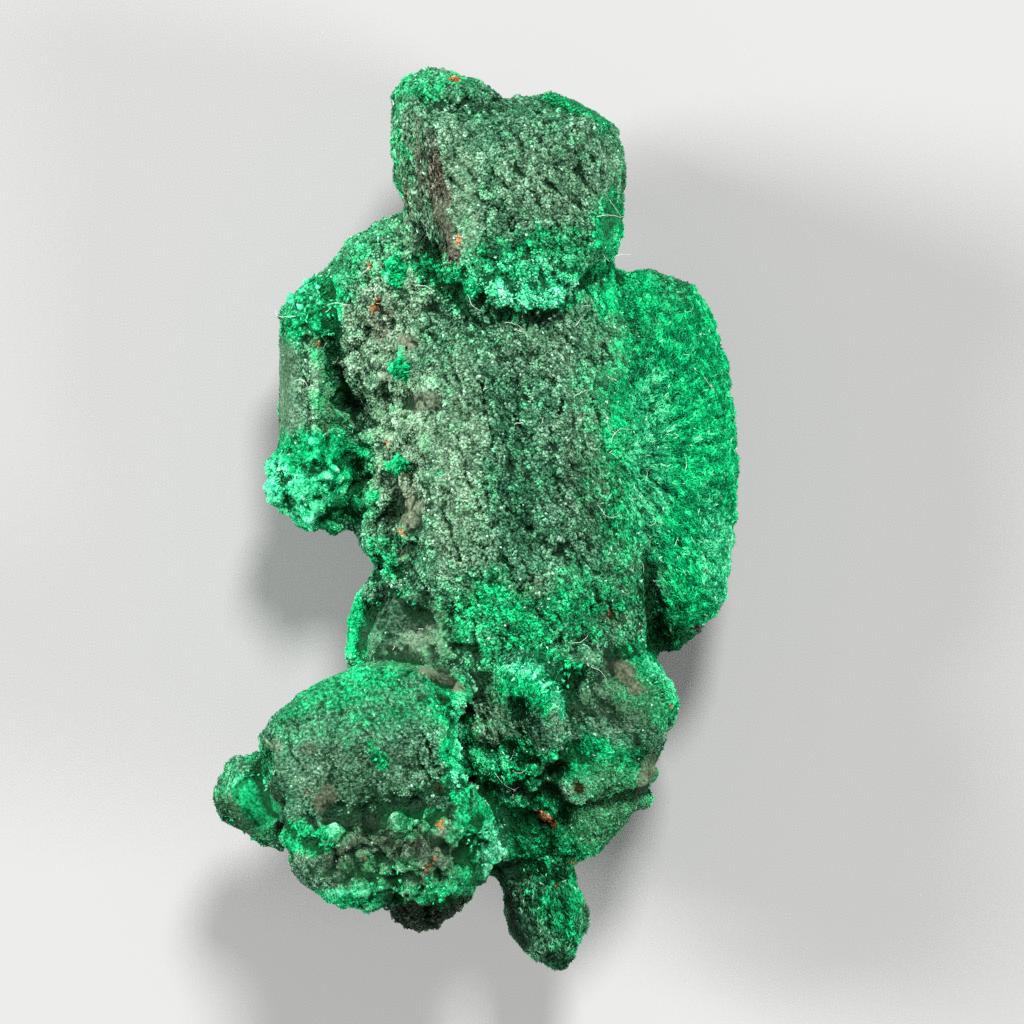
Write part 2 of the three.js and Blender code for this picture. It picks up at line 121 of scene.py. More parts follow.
def pebbles(points, scale, seed=0):
    """For a packing of rounded grains: the distance to the nearest grain's middle, the gap to the next
    nearest, both in grain widths, and a random number from 0 to 1 for each grain."""
    scaled = points / scale
    cell = np.floor(scaled).astype(np.int64)
    nearest = np.full(len(points), 9.0)
    second = np.full(len(points), 9.0)
    grain = np.zeros(len(points))
    for step in np.ndindex(3, 3, 3):
        there = cell + step - np.array([1, 1, 1])
        code = hashed(there, seed)
        distance = np.linalg.norm(there + OFFSETS[code] - scaled, axis=1)
        closer = distance < nearest
        second = np.where(closer, nearest, np.minimum(second, distance))
        grain = np.where(closer, code / 255, grain)
        nearest = np.where(closer, distance, nearest)
    return nearest, second - nearest, grain


def ease(value, start, end):
    """0 at start and 1 at end, with a smooth rise between."""
    share = np.clip((value - start) / (end - start), 0, 1)
    return share * share * (3 - 2 * share)


# ---- places on the specimen

# Each place is (x, y, half width, half height, strength), in millimetres from the middle. A sixth number is
# its turn in degrees.

EMERALD_PLACES = [
    (12.9, 3, 3.4, 11, 1),  # fan
    (9.9, 4.5, 3.2, 9.4, 0.62),
    (7.6, 5, 2, 8, 0.3, 6),  # right of the long crystal's front
    (8.3, 12.4, 2, 2, 0.8),  # between head and fan
    (2.2, 12.6, 4.4, 1.3, 0.95),  # lip of the head
    (3, 14, 4.5, 1.4, 0.45, 8),
    (7.2, 15.9, 0.9, 1.7, 1),  # right edge of the head
    (7.7, 18.4, 0.5, 2.4, 0.2),
    (5.9, 22.3, 2.4, 0.8, 0.65, -24),  # cap plate
    (-2.4, 23.4, 3, 0.9, 0.4),  # crown
    (-4.2, 19.4, 0.5, 4, 0.45),
    (-1.8, 13.2, 1.3, 1, 0.9, -40),  # crystals beside the lip
    (-6.5, 14.2, 3.4, 1.6, 0.3, 35),  # shoulder
    (-8.8, 11.6, 1.9, 2, 0.95),  # arm, upper end
    (-8.6, 2, 3, 2.8, 0.9),  # arm, lower end
    (-7.8, 7.4, 1, 3, 0.38),
    (-4.1, 13.6, 0.5, 1, 1, -10),  # bright tufts on the left face
    (-3.9, 8.2, 0.6, 0.5, 1, 30),
    (-3.9, 2.9, 0.6, 0.5, 1),
    (-4.8, -2, 1.2, 1.4, 0.45, 60),
    (-6.6, -8.7, 5, 1.2, 0.55, 14),  # top slope of the block
    (-6.2, -10.2, 4.4, 1.4, 0.3, 10),
    (-1.6, -9.6, 1.2, 1.6, 0.6),
    (-5, -12.5, 0.55, 0.5, 0.9),
    (-0.8, -12, 0.7, 3.4, 0.95),  # right edge of the block
    (-12.6, -15.8, 2, 2.4, 0.45, 30),
    (-11.3, -12.9, 0.9, 0.6, 0.7, 40),
    (-8.1, -16.9, 1, 0.7, 1),  # cluster
    (-9.4, -17, 1, 1, 0.75),
    (-4.9, -18.9, 1.8, 1.4, 0.8),
    (-3.3, -15.8, 1.6, 0.6, 0.8),
    (-7, -20.2, 2.6, 0.7, 0.6),
    (0.4, -17.1, 1.6, 2.8, 0.95, -8),
    (-1.6, -19.6, 1.6, 0.9, 0.8, 20),
    (-0.6, -13.6, 1.1, 0.8, 1),
    (1.6, -5.6, 3.8, 2.6, 0.5),  # foot of the long crystal
    (5.9, -4.6, 3.2, 2, 0.4),
    (3.2, -8.5, 2.2, 1.8, 0.9),  # crest
    (10.1, -8.6, 2, 2.6, 0.85, 35),  # wing
    (1.6, -13.3, 2.2, 1.4, 0.8),
    (7.1, -13.3, 2.8, 1.6, 0.85, -10),  # ledge
    (6.9, -16.4, 3, 2, 0.85, 20),  # apron
    (3.2, -16.9, 2.2, 2, 0.75),
    (4.8, -20.8, 1.2, 2.6, 0.6, 10),  # foot
    (-6.4, -5.6, 0.6, 2.8, 0.9),  # blade
]

PALE_PLACES = [
    (-1, 17.2, 1.3, 3.6, 0.8, 8),  # corner of the head
    (-3.6, 18.2, 1.4, 4.6, 0.75, 6),  # left face of the head
    (3.8, 18.2, 3.6, 2.8, 0.5),
    (-4.8, 11, 2.2, 4.6, 0.95, -20),  # left face of the long crystal
    (-3.8, 4.2, 2, 5, 1),
    (-1, 2.6, 1.5, 6.4, 0.9),  # left edge of its front
    (3.8, 9.2, 3, 1.8, 0.4),
    (6.2, 4, 1.6, 4, 0.45),
    (8.6, 4.6, 1.8, 6.6, 0.62),
    (-10.2, 6.5, 0.8, 3, 0.6),  # outer face of the arm
    (-8.2, 7.4, 0.9, 2.8, 1),  # its inner face
    (-6.6, -13.4, 3.4, 1.6, 0.4),  # front of the block
    (-3, -6, 2, 1.8, 0.15),  # tablet
    (-2.6, -16.6, 1.3, 1, 0.5),  # cluster
    (-7.4, -18.4, 2.2, 0.9, 0.6),
    (-13.2, -16.2, 1.2, 0.6, 0.6, 25),  # small flat crystal on the left
    (5.4, -9.8, 1.6, 1.2, 0.35),  # wing
    (0.4, -11.2, 1.6, 1.6, 0.7),  # below the crest
]

FROST_PLACES = [
    (3.2, 12.2, 2.4, 0.8, 0.95, 8),  # lip of the head
    (0.4, 13.2, 2, 0.6, 0.3, -30),
    (2.4, 13.3, 3.4, 0.9, 0.45, 6),
    (6, 22.5, 1.8, 0.35, 0.15, -24),  # cap plate
    (2.8, -7.7, 1.9, 0.5, 0.85, -8),  # crest
    (4.6, -9.4, 0.3, 1.5, 0.7, 8),
    (9.9, -8.2, 2, 0.35, 0.5, -48),  # wing
    (1.1, -17.4, 0.9, 1.9, 0.75, -10),  # cluster
    (-0.7, -11.6, 0.35, 3.2, 0.5),  # right edge of the block
    (-6.6, -19.7, 2.2, 0.4, 0.35),
    (-0.9, -13.6, 0.6, 0.5, 0.9),
    (5.7, -14.3, 1, 0.9, 0.35),  # ring-shaped knob
    # The frost on the fan's lower rim is also a painted rim highlight.
    (13.4, -2.6, 1.2, 4.6, 0.45, 12),  # lower rim of the fan
    (9.4, 3, 1.4, 6.4, 0.42),
    (-9.6, 12.1, 1.2, 0.9, 0.35, 20),  # arm
    # The frost on the left side of the arm's lower end is also a painted rim highlight.
    (-10.7, 2.2, 0.8, 1.8, 0.7, 20),
    (-9, 1, 2.4, 1.8, 0.45),
    (-7.3, -8.3, 3, 0.3, 0.25, 22),  # block
    (9, -15.6, 0.6, 1.8, 0.35, 30),  # apron
    (1.2, -12.6, 1.4, 0.8, 0.35),
    (-13, -14, 0.9, 0.12, 0.9, 42),
    (-13.4, -16.4, 0.3, 1.6, 0.2, 25),
]

# Places painted darker: most are painted shade in grooves, gaps, hollows and under ledges, some a darker tone
# of the mineral.
SHADED_AND_DARK_PLACES = [
    (-4, -5, 1.6, 0.7, 0.4),  # tablet
    (5.6, 22.2, 2.2, 0.8, 0.3, -24),  # cap plate
    (-9.2, 12, 1.6, 1.2, 0.3),  # arm
    (-7.6, -18.5, 1.8, 0.9, 0.35),  # cluster
    (-3.4, -17.2, 1.6, 1.1, 0.3),
    (-13, -16.4, 1, 1.6, 0.35, 30),
    (-10.3, 6.9, 0.7, 3.2, 0.15),  # outer face of the arm
    (-6.4, -9.2, 5, 1.7, 0.13, 14),  # block
    (-6.2, -13.6, 4, 2.2, 0.2),
    (-5.4, -15.2, 3, 0.7, 0.5, 10),
    (5.55, -14.3, 0.3, 0.3, 0.7),  # bore of the knob
    (-2, 17, 0.9, 3, 0.12, 8),  # groove down the head
    (-0.6, 11.2, 2.4, 0.8, 0.4, -10),  # beside the lip
    (-2, 12.7, 1.3, 0.7, 0.45, -40),
    (7.2, 16.4, 0.6, 1.2, 0.35),
    (-2.5, 14, 0.5, 1.6, 0.55, 25),  # left of the head
    (-2.15, 17.4, 0.14, 3.6, 0.6, 8),  # edge between its left face and its front
    (0.7, -12.6, 0.6, 1.6, 0.35),  # hollow beside the block
    (2.6, -11.2, 1.5, 1.1, 0.2),
    (3.6, 1.8, 2.4, 3.8, 0.2, 25),  # middle of the long crystal's front
    (2.2, 8.8, 1.6, 1, 0.25, -50),
    (0.8, 6.2, 0.8, 2.2, 0.2, 20),
    (2.7, -16.6, 1.8, 1.5, 0.55),  # sparkling hollow
    (1.2, -19.2, 1.3, 0.7, 0.9),  # neck
    (-2, -21.2, 3.2, 1.2, 0.8),  # lower lobe
    (9.2, -3.6, 0.4, 2.2, 0.6, -8),  # groove beside the fan
    (11, -6.4, 1.6, 0.65, 0.85, 15),
    (-6.9, 6.9, 0.5, 1.2, 0.4),  # gap beside the arm
    (-9.05, 7.4, 0.12, 2.6, 0.55, 2),  # edge down the arm
    (-10.3, -15.4, 0.25, 1.8, 0.8, 14),  # beside the small flat crystal
    (-11.3, -12.9, 0.8, 0.5, 1, 40),
    (-11.9, -16, 1.2, 0.5, 0.35, 35),
    (-2.4, -14.6, 1.8, 0.7, 0.5, 30),
    (-6, -15.9, 2, 0.6, 0.4),
    (4.2, -21.4, 1.8, 2.8, 0.3, 10),  # foot
    (2.3, -21.4, 0.6, 1.8, 0.8, 15),
    (5.9, -21.6, 0.4, 1.8, 0.5),
    (4.7, -23.8, 1.3, 0.5, 0.9),
    (-1.15, -6.1, 0.18, 1.8, 0.6),  # edge of the flat tablet
    (-4.4, -8, 2, 0.15, 0.25),
    (-3.4, -4.4, 1.6, 0.16, 0.4, 20),
    (-6, -5.6, 0.14, 1.6, 0.6, -12),
    (-4.4, 0.4, 0.8, 1.2, 0.35, 20),  # left face of the long crystal
    (-2.2, 10.45, 0.25, 0.2, 1),
    (-2.8, 6.4, 1, 0.8, 0.5, 20),
    (6.9, -9.9, 1.2, 0.6, 0.4, 20),
]

# Places painted lighter than the rest around them: painted light, which takes back the painted shade there.
PAINTED_LIGHT_PLACES = [
    (8.8, 8.4, 1.5, 5.2, 0.8),  # between the long crystal and the top of the fan
    (12.6, 2.5, 3, 10.5, 0.2),  # fan
    (3.8, -16.1, 0.9, 0.5, 0.7, -40),  # rusty streak
    (-4, 5.4, 1.8, 4.2, 0.54),  # left face of the long crystal
    (-4.4, -0.6, 1, 1.6, 0.3, 20),
    (-3.6, 18, 1.6, 5, 0.15, 6),  # left face of the head
    (-8.2, 7.2, 1, 3, 0.5),  # arm
    (-8.8, 1.8, 3, 2.8, 0.35),
    (0.2, -11.6, 1.9, 1.8, 0.4),  # below the crest
    (-6.6, -5.6, 0.6, 2.8, 0.6),  # blade
    (-2.6, -6.9, 1.3, 1, 0.45),  # tablet
    (-1.7, -8.2, 1.1, 0.6, 0.8, -25),
    (4.6, -21.2, 1.8, 2.6, 0.15, 10),  # foot
]

STAIN_PLACES = [
    (-4.2, -17.6, 4.6, 2.4, 0.48),  # cluster
    (-12.8, -16, 1.6, 2.2, 0.42, 30),  # small flat crystal
    (-2, -21.3, 3, 1.2, 0.6),  # lower lobe
    (7.2, -15.4, 3, 2.8, 0.46, 20),  # ledge and apron
    (8.4, -9.6, 2.4, 2, 0.42, -30),  # wing
    (-3.2, -6.2, 1.9, 1.8, 0.36),  # tablet
    (-1.8, 17.2, 0.4, 3.8, 0.75, 8),  # groove down the head
    (-1.4, 14.6, 0.5, 1, 0.9, 20),
    (-2.9, 19.4, 0.25, 2.6, 0.6, 4),
    (-3.7, 17.2, 0.25, 2, 0.45, 6),
    (-5, 10.4, 0.6, 1.2, 0.5),  # left face of the long crystal
    (-3.6, 1.2, 0.6, 1.2, 0.5, 10),
    (3.2, -3.4, 1.8, 0.7, 0.4),  # ochre patch on the front
    (7.4, -5.3, 1.2, 0.6, 0.4),
    (-8.9, -12.2, 0.7, 0.5, 0.5),  # block
    (-4.4, -12.4, 1.4, 0.6, 0.3),
    (-3, -17, 0.7, 0.7, 0.55),  # cluster
    (12, -5.9, 0.5, 0.3, 0.9),
]

RUST_PLACES = [
    (-1.1, 23.6, 0.35, 0.2, 1, -40),
    (-0.9, 15, 0.12, 0.3, 0.9, 8),
    (-5.6, 13.7, 0.2, 0.2, 1),
    (-5.3, 11.6, 0.2, 0.5, 0.9, -15),
    (-8.4, 9.6, 0.3, 0.12, 1),
    (-4.7, 4.2, 0.3, 0.15, 0.9),
    (-3.9, -0.6, 0.3, 0.12, 1, -30),
    (7.4, -5, 0.2, 0.3, 0.9, 20),
    (3.8, -16.1, 0.8, 0.35, 1, -40),
    (5.55, -14.3, 0.4, 0.38, 0.85),  # bore of the knob
    (10.5, -10, 0.35, 0.08, 1, -35),
    (-5.9, -17.8, 0.3, 0.12, 1, -30),  # cluster
    (-2.3, -18.1, 0.7, 0.16, 1, 55),
    (-1.8, -16, 0.3, 0.2, 1, 40),
    (-1.9, -14.1, 0.3, 0.2, 1),
    (-8.9, -14.3, 0.16, 0.16, 1),
    (4.4, -19.7, 0.2, 0.15, 0.9),
    (5.2, -18.3, 0.2, 0.1, 0.8),
]

BARE_PLACES = [
    (-1.5, 15.8, 0.35, 1.8, 0.6, 10),  # groove down the head
    (-3.6, 9.6, 0.6, 0.5, 1),  # left face of the long crystal
    (-2.7, 6.4, 0.8, 0.6, 0.8, 20),
    (-4.9, 7.5, 0.45, 0.5, 0.6),
    (-3.4, 0.3, 0.6, 1, 0.9),
    (-3.9, -1.9, 0.4, 0.5, 0.8),
    (-7.9, -14.7, 0.55, 0.8, 1, -10),  # block
    (-10.6, -11.9, 0.6, 0.35, 0.6),
    (7.9, -8.1, 0.95, 0.5, 1, -40),  # wing
    (8.7, -8.9, 0.5, 0.4, 1),
    (9.3, -13.6, 0.4, 1.3, 0.9, -20),
    (-2.4, -6.4, 1.4, 1.9, 0.3),  # tablet
    (-4.6, -7.2, 1.6, 0.6, 0.25),
    (-1.8, -8.4, 1.3, 0.4, 0.95, -25),  # between the tablet and the block
]

SMOOTH_PLACES = [
    (-4.2, 5.4, 2.2, 8.4, 0.1),  # left face of the long crystal
    (-8, 7.4, 0.9, 2.8, 0.35),  # inner face of the arm
    (-3.6, -6.4, 2.6, 2.3, 0.8),  # tablet
    (-10.2, 6.9, 0.8, 3.2, 1),  # outer face of the arm
    (-11.9, -15.2, 1.3, 1.8, 1, 22),  # small flat crystal on the left
    (-12.4, -15.6, 2.6, 3.2, 0.45, 22),
    (-6.6, -12.6, 3.6, 2.8, 0.6),  # front of the block
    (-9.8, -13.6, 0.8, 2.4, 0.7, 10),
    (-6.2, -9.8, 5, 2.2, 0.7, 14),
    (-0.4, 16.8, 0.7, 2.8, 0.6, 8),  # bald strip beside the groove
    (2.4, -22, 0.7, 1.8, 0.6, 15),  # foot
    (7.2, 15.9, 0.6, 1.5, 0.9),  # right edge of the head
    (6.2, 22.4, 2, 0.5, 0.8, -24),  # cap plate
    (-1.2, 3.2, 1.4, 5.4, 0.3),  # left edge of the long crystal's front
    (-3.9, -17.6, 6.4, 3, 0.75),  # cluster
    (-7.4, -18.4, 2.2, 1.1, 0.5),
    (0.4, -16.8, 1.4, 2.8, 0.6),
    (-8.8, 11.8, 1.8, 1.6, 0.6),  # ends of the arm
    (-8.8, 1.8, 2.8, 2.6, 0.6),
    (7.4, -9, 3, 1.8, 0.6, -30),  # wing
    (3.2, -9, 2.4, 2.2, 0.5, -10),  # crest
    (7.2, -14.6, 3.2, 3.2, 0.5),  # ledge and apron
]

ROUGH_PLACES = [
    (-3.4, -6.4, 2.6, 2.3, 0.5),  # tablet
    (-4.6, 6, 2.4, 11.5, 0.85),  # left face of the long crystal
    (-3.2, 17.6, 1.8, 5.6, 0.4),  # left face of the head
    (-7.6, 7.4, 0.8, 2.6, 0.6),  # arm
    (1.8, -13.6, 3, 2, 0.7),
    (7, -11.6, 2.2, 1, 0.4),
    (-3.6, -17.6, 6, 3.2, 1),  # cluster
    (-8.8, 11.8, 2, 1.7, 0.6),  # ends of the arm
    (-8.8, 1.8, 3, 2.8, 0.9),
    (4.4, -21.4, 1.9, 3, 0.7, 10),  # foot
]

# Places where the crystals are fibres, each with the point (x, y) that the fibres spread from and how many
# there are to a radian. A far point makes even stripes.
FIBRE_PLACES = [
    ((12, 3.6, 4.6, 11.2, 1), (7.2, 3.6), 12),  # fan
    ((4.1, -21.2, 1.9, 2.8, 0.9, 10), (3.4, -14.5), 10),  # foot
    ((3.2, -8.8, 2.5, 2.3, 1, -10), (1.6, -12.5), 14),  # crest
    ((7.4, -13.8, 3.4, 3.4, 0.55), (1, -12), 10),  # ledge and apron
    ((-9.6, 2.6, 1.6, 1.6, 0.5), (-7.6, 2.4), 8),  # arm, lower end
    ((-3.2, 18.4, 1.3, 5.2, 0.55, 8), (-9.5, 60), 85),  # left face of the head
    ((-10.1, 6.9, 1, 3.4, 0.5), (-10.1, 50), 85),  # outer face of the arm
]

# The ring-shaped knob, whose bore is kept open.
KNOB = (5.6, -14.3, 1.3, 1.3, 1)

# Places where wider clefts and holes are grown over too.
HOLES = [
    (5.2, -8.2, 1.2, 1, 1),  # between the crest and the wing
    (-2, -8.6, 1.4, 0.9, 1),  # between the tablet and the block
    (-6.6, 4.6, 0.8, 1.6, 0.8),  # beside the arm
    (8.8, 8.4, 1.6, 5, 1),  # between the long crystal and the top of the fan
]

# The smooth front face of the small flat crystal.
FACE = (-11.7, -15, 0.95, 1.45, 1, 33)

# Blades that stand up in tufts: (x, y, spread, number, length, frost).
TUFTS = [
    (-4.1, 13.6, 0.5, 44, 0.62, 0.2),  # left face of the long crystal
    (-4.1, 12.9, 0.4, 14, 0.45, 0.1),
    (-3.9, 8.2, 0.5, 52, 0.62, 0.15),
    (-3.9, 2.9, 0.5, 50, 0.6, 0.15),
    (-2.1, 2.5, 0.2, 8, 0.35, 0.4),
    (-4.9, -2.2, 0.6, 10, 0.4, 0.1),
    (-3.6, -4.1, 0.6, 12, 0.4, 0.1),
    (-5.3, -4.4, 0.5, 10, 0.4, 0.1),
    (-1.6, 13.4, 0.8, 26, 0.45, 0.3),  # beside the lip
    (3.3, 12.3, 1.6, 60, 0.4, 0.8),  # lip
    (0.6, 13, 1.3, 40, 0.35, 0.5),
    (-9.2, 12.1, 0.9, 40, 0.6, 0.5),  # arm, upper end
    (-9.6, 10.6, 0.6, 20, 0.55, 0.3),
    (-7.9, 11.6, 0.8, 24, 0.5, 0.2),
    (-10.4, 2.6, 0.9, 36, 0.5, 0.6),  # arm, lower end
    (-9.6, 1, 0.9, 30, 0.45, 0.4),
    (-7.8, 1.2, 1, 26, 0.4, 0.2),
    (-7.2, 4.8, 0.6, 16, 0.45, 0.2),
    (-5, -12.5, 0.35, 12, 0.35, 0.1),  # block
    (-11.8, -13.7, 0.2, 4, 0.6, 1),  # small flat crystal
    (-11.3, -14.2, 0.2, 4, 0.55, 1),
    (-13.2, -16.6, 0.9, 20, 0.3, 0),
    (-12.3, -18, 0.8, 16, 0.3, 0),
    (-0.8, -9.6, 0.5, 20, 0.4, 0.4),
    (-8, -16.8, 0.6, 24, 0.5, 0.1),  # cluster
    (-0.9, -13.6, 0.5, 18, 0.4, 0.8),
    (-4.6, -19, 1, 26, 0.4, 0.3),
    (0.6, -17.2, 1, 40, 0.45, 0.7),
    (-2, -19.4, 0.9, 22, 0.4, 0.3),
    (4, -8.3, 1.2, 46, 0.5, 0.7),  # crest
    (2.2, -7.7, 0.9, 24, 0.4, 0.6),
    (10, -8.4, 1.2, 30, 0.4, 0.4),  # wing
    (1.4, -13.1, 1, 30, 0.4, 0.4),
    (5.6, -14.3, 0.9, 14, 0.28, 0.4),  # ring-shaped knob
    (5.2, -7.9, 0.5, 26, 0.6, 0.1),  # between the crest and the wing
    (3.7, -19.4, 1.2, 24, 0.5, 0.4),  # foot
]

# Loose fibres: (x, y, half width and half height of their place, number).
LOOSE_FIBRES = [
    (10.8, 4, 1.9, 7, 16),
    (7.6, 5, 1.6, 6, 16),
    (3, 7, 3, 3.6, 8),
    (-1.4, 11.6, 1.2, 0.6, 3),
    (6.4, 14.4, 1.4, 3, 8),
    (-8.6, 7.6, 1.4, 3.6, 10),
    (-5.4, 12.4, 1.2, 1.6, 5),
    (-3.4, -6, 1.4, 1.2, 3),
    (6.4, -7, 2, 1.4, 6),
    (2.4, -14, 1.8, 1.4, 5),
]


def patches(points, places, ragged=0.45, soft=0.3, squareness=2):
    """How strongly each point belongs to a list of places, from 0 to 1, with ragged and soft outlines. A
    squareness of 2 makes the places elliptical, and a larger one makes them nearly rectangular."""
    wander = np.stack([fractal(points, 1.6, 3, seed) for seed in (31, 47)], axis=1) * ragged
    spots = points[:, :2] + wander
    whole = np.zeros(len(points))
    for x, y, half_width, half_height, strength, *turn in places:
        angle = math.radians(turn[0] if turn else 0)
        cos, sin = math.cos(angle), math.sin(angle)
        across = (spots[:, 0] - x) * cos + (spots[:, 1] - y) * sin
        along = (spots[:, 1] - y) * cos - (spots[:, 0] - x) * sin
        across, along = np.abs(across / half_width), np.abs(along / half_height)
        reach = (across**squareness + along**squareness) ** (1 / squareness)
        whole = np.maximum(whole, strength * ease(reach, 1 + soft, 1 - soft))
    return whole


def fibres(points):
    """How fibrous each point is, from 0 to 1, the offset (x, y) from where its fibres spread, and how many
    there are to a radian."""
    strength = np.zeros(len(points))
    offset = points[:, :2] - FIBRE_PLACES[0][1]
    number = np.full(len(points), FIBRE_PLACES[0][2])
    for place, root, here_number in FIBRE_PLACES:
        here = patches(points, [place], 0.3)
        stronger = here > strength
        strength = np.where(stronger, here, strength)
        offset = np.where(stronger[:, None], points[:, :2] - root, offset)
        number = np.where(stronger, here_number, number)
    return strength, offset, number


# Grains and cracks are drawn out from the upper left to the lower right.
GRAIN_HEADING = np.array([0.6, -0.8, 0.0])
CRACK_STRETCH = np.array([[0.9, 0.35, 0.0], [0.35, 0.6, 0.0], [0.0, 0.0, 1.0]])
CRUMB_STRETCH = np.array([[0.84, 0.22, 0.0], [0.22, 0.71, 0.0], [0.0, 0.0, 0.9]])


# ---- the rock surface


def neighbour_mean(values, edges):
    """The mean over each corner's neighbours."""
    first, second = edges.T
    count = len(values)
    total = np.stack(
        [
            np.bincount(first, column[second], count) + np.bincount(second, column[first], count)
            for column in values.T
        ],
        axis=1,
    )
    return total / np.maximum(np.bincount(edges.ravel(), minlength=count), 1)[:, None]


def relax(points, edges, rounds):
    for _ in range(rounds):
        points = points + 0.6 * (neighbour_mean(points, edges) - points)
    return points


def corner_normals(points, faces):
    """Unit normals at the corners of quads or triangles."""
    across = points[faces[:, 2]] - points[faces[:, 0]]
    along = points[faces[:, -1]] - points[faces[:, 1]]
    face = np.cross(across, along)
    total = np.zeros_like(points)
    for side in range(faces.shape[1]):
        for axis in range(3):
            total[:, axis] += np.bincount(faces[:, side], face[:, axis], len(points))
    return unit(total)


def unit(vectors):
    return vectors / np.maximum(np.linalg.norm(vectors, axis=1, keepdims=True), 1e-9)


def read_mesh(piece, sides):
    """Corners, faces and edges of a piece with its modifiers applied."""
    graph = bpy.context.evaluated_depsgraph_get()
    made = piece.evaluated_get(graph).to_mesh()
    points = np.empty(len(made.vertices) * 3, np.float32)
    made.vertices.foreach_get("co", points)
    faces = np.empty(len(made.loops), np.int32)
    made.loops.foreach_get("vertex_index", faces)
    edges = np.empty(len(made.edges) * 2, np.int32)
    made.edges.foreach_get("vertices", edges)
    piece.evaluated_get(graph).to_mesh_clear()
    return points.reshape(-1, 3).astype(float), faces.reshape(-1, sides), edges.reshape(-1, 2)


def discard(piece):
    mesh = piece.data
    bpy.data.objects.remove(piece)
    bpy.data.meshes.remove(mesh)


def even_quads(mesh):
    """Corners, quads and edges of a mesh remade as even quads. The mesh itself is used up."""
    holder = bpy.data.objects.new("even_quads", mesh)
    bpy.context.scene.collection.objects.link(holder)
    remesh = holder.modifiers.new("even_quads", "REMESH")
    remesh.mode = "VOXEL"
    remesh.voxel_size = QUAD
    points, quads, edges = read_mesh(holder, 4)
    discard(holder)
    return points, quads, edges


def swelling(points, normals):
    """How each corner moves as the clefts grow over. The ring-shaped knob stays open."""
    open_here = patches(points - middle, [KNOB], 0.0)
    shut_here = patches(points - middle, HOLES, 0.0)
    reach = CLEFT * (1 - 0.9 * open_here + 0.9 * shut_here)
    return normals * reach[:, None]


def grown_over():
    """Corners, quads and edges of the frame's solid with its narrow clefts grown over: it is swollen, remade,
    and shrunk again."""
    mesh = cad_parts[NODE].data.copy()
    mesh.transform(Matrix.Scale(1 / MM, 4))
    points, quads, _ = even_quads(mesh)
    swollen = bpy.data.meshes.new("swollen")
    fill_mesh(swollen, points + swelling(points, corner_normals(points, quads)), quads)
    points, quads, edges = even_quads(swollen)
    points = points - swelling(points, corner_normals(points, quads))
    return points - middle, quads, edges


def thinned(points, quads):
    """Corners and triangles of a surface with fewer faces, most of them kept where it is rough."""
    mesh = bpy.data.meshes.new("thinned")
    fill_mesh(mesh, points, quads)
    holder = bpy.data.objects.new("thinned", mesh)
    bpy.context.scene.collection.objects.link(holder)
    decimate = holder.modifiers.new("thinned", "DECIMATE")
    decimate.ratio = ROCK_TRIANGLES / (2 * len(quads))
    decimate.use_collapse_triangulate = True
    points, faces, _ = read_mesh(holder, 3)
    discard(holder)
    return points, faces


def nearest_corners(points, wanted):
    """The index of the nearest of points for each wanted one."""
    tree = KDTree(len(points))
    for index, point in enumerate(points):
        tree.insert(point, index)
    tree.balance()
    return np.array([tree.find(point)[1] for point in wanted])


MARKS = ("emerald", "pale", "dark", "stain", "rust", "bare", "smooth", "crack")
UNPAINTED = ("face", "edge", "rough", "fibre")  # marks that shape the rock and that no material reads


def mineral_marks(points, normals, edge):
    """What covers the surface at each corner, as numbers from 0 to 1."""
    front = ease(normals[:, 2], -0.35, 0.1)

    def both(places, ragged, soft, scale, seed, start, strength):
        """Places on the side that shows in the photo, and scattered patches on the side that does not."""
        hidden = ease(fractal(points, scale, 3, seed), start, start + 0.45) * strength
        return np.maximum(front * patches(points, places, ragged, soft), (1 - front) * hidden)

    clouds = fractal(points, 4.0, 3, 71)
    fibre = fibres(points)[0]
    emerald = both(EMERALD_PLACES, 0.7, 0.45, 5.0, 72, -0.1, 0.9)
    emerald = np.maximum(emerald, (1 - front) * fibre)
    emerald = np.clip(emerald + 0.22 * clouds * (1 - front * 0.4) + 0.06, 0, 1)
    bare = both(BARE_PLACES, 0.3, 0.15, 2.6, 75, 0.45, 0.7)
    pale = both(PALE_PLACES, 0.9, 0.6, 3.6, 76, -0.1, 0.7)
    face = front * patches(points, [FACE], 0.08, 0.06, 6)
    smooth = np.maximum(both(SMOOTH_PLACES, 0.4, 0.25, 3.0, 78, 0.3, 0.6), np.maximum(bare, face))
    # The dark mark: painted shade in grooves, gaps and hollows and a darker tone in places; the painted light
    # places take it back.
    dark = both(SHADED_AND_DARK_PLACES, 0.4, 0.3, 3.2, 73, 0.15, 0.7)
    dark = dark - front * patches(points, PAINTED_LIGHT_PLACES, 0.6, 0.5)
    stain = both(STAIN_PLACES, 0.4, 0.5, 2.2, 77, 0.3, 0.6)
    return {
        "face": face,
        "emerald": np.maximum(emerald, face),
        "edge": edge,
        # Convex edges are painted paler: a painted highlight.
        "pale": np.maximum(pale, 0.8 * edge * (1 - emerald)),
        "frost": front * patches(points, FROST_PLACES, 0.35, 0.4),
        "dark": dark * (1 - face) + 0.16 * face,
        "stain": stain * (1 - face),
        "rust": both(RUST_PLACES, 0.1, 0.3, 1.4, 74, 0.75, 0.9),
        "bare": bare,
        "smooth": smooth,
        "rough": both(ROUGH_PLACES, 0.6, 0.4, 4.0, 79, -0.2, 0.7),
        "fibre": fibre,
        "crack": crevices(points) * (1 - emerald * 0.6) * (1 - fibre) * (1 - 0.7 * smooth),
    }


def crevices(points):
    """1 in the middle of short dark cracks that run from the upper left to the lower right, else 0."""
    stretched = points @ CRACK_STRETCH
    line = np.abs(fractal(stretched, 1.3, 2, 26))
    broken = ease(noise(stretched, 1.1, 28), -0.05, 0.25)
    return ease(line, 0.14, 0.03) * broken


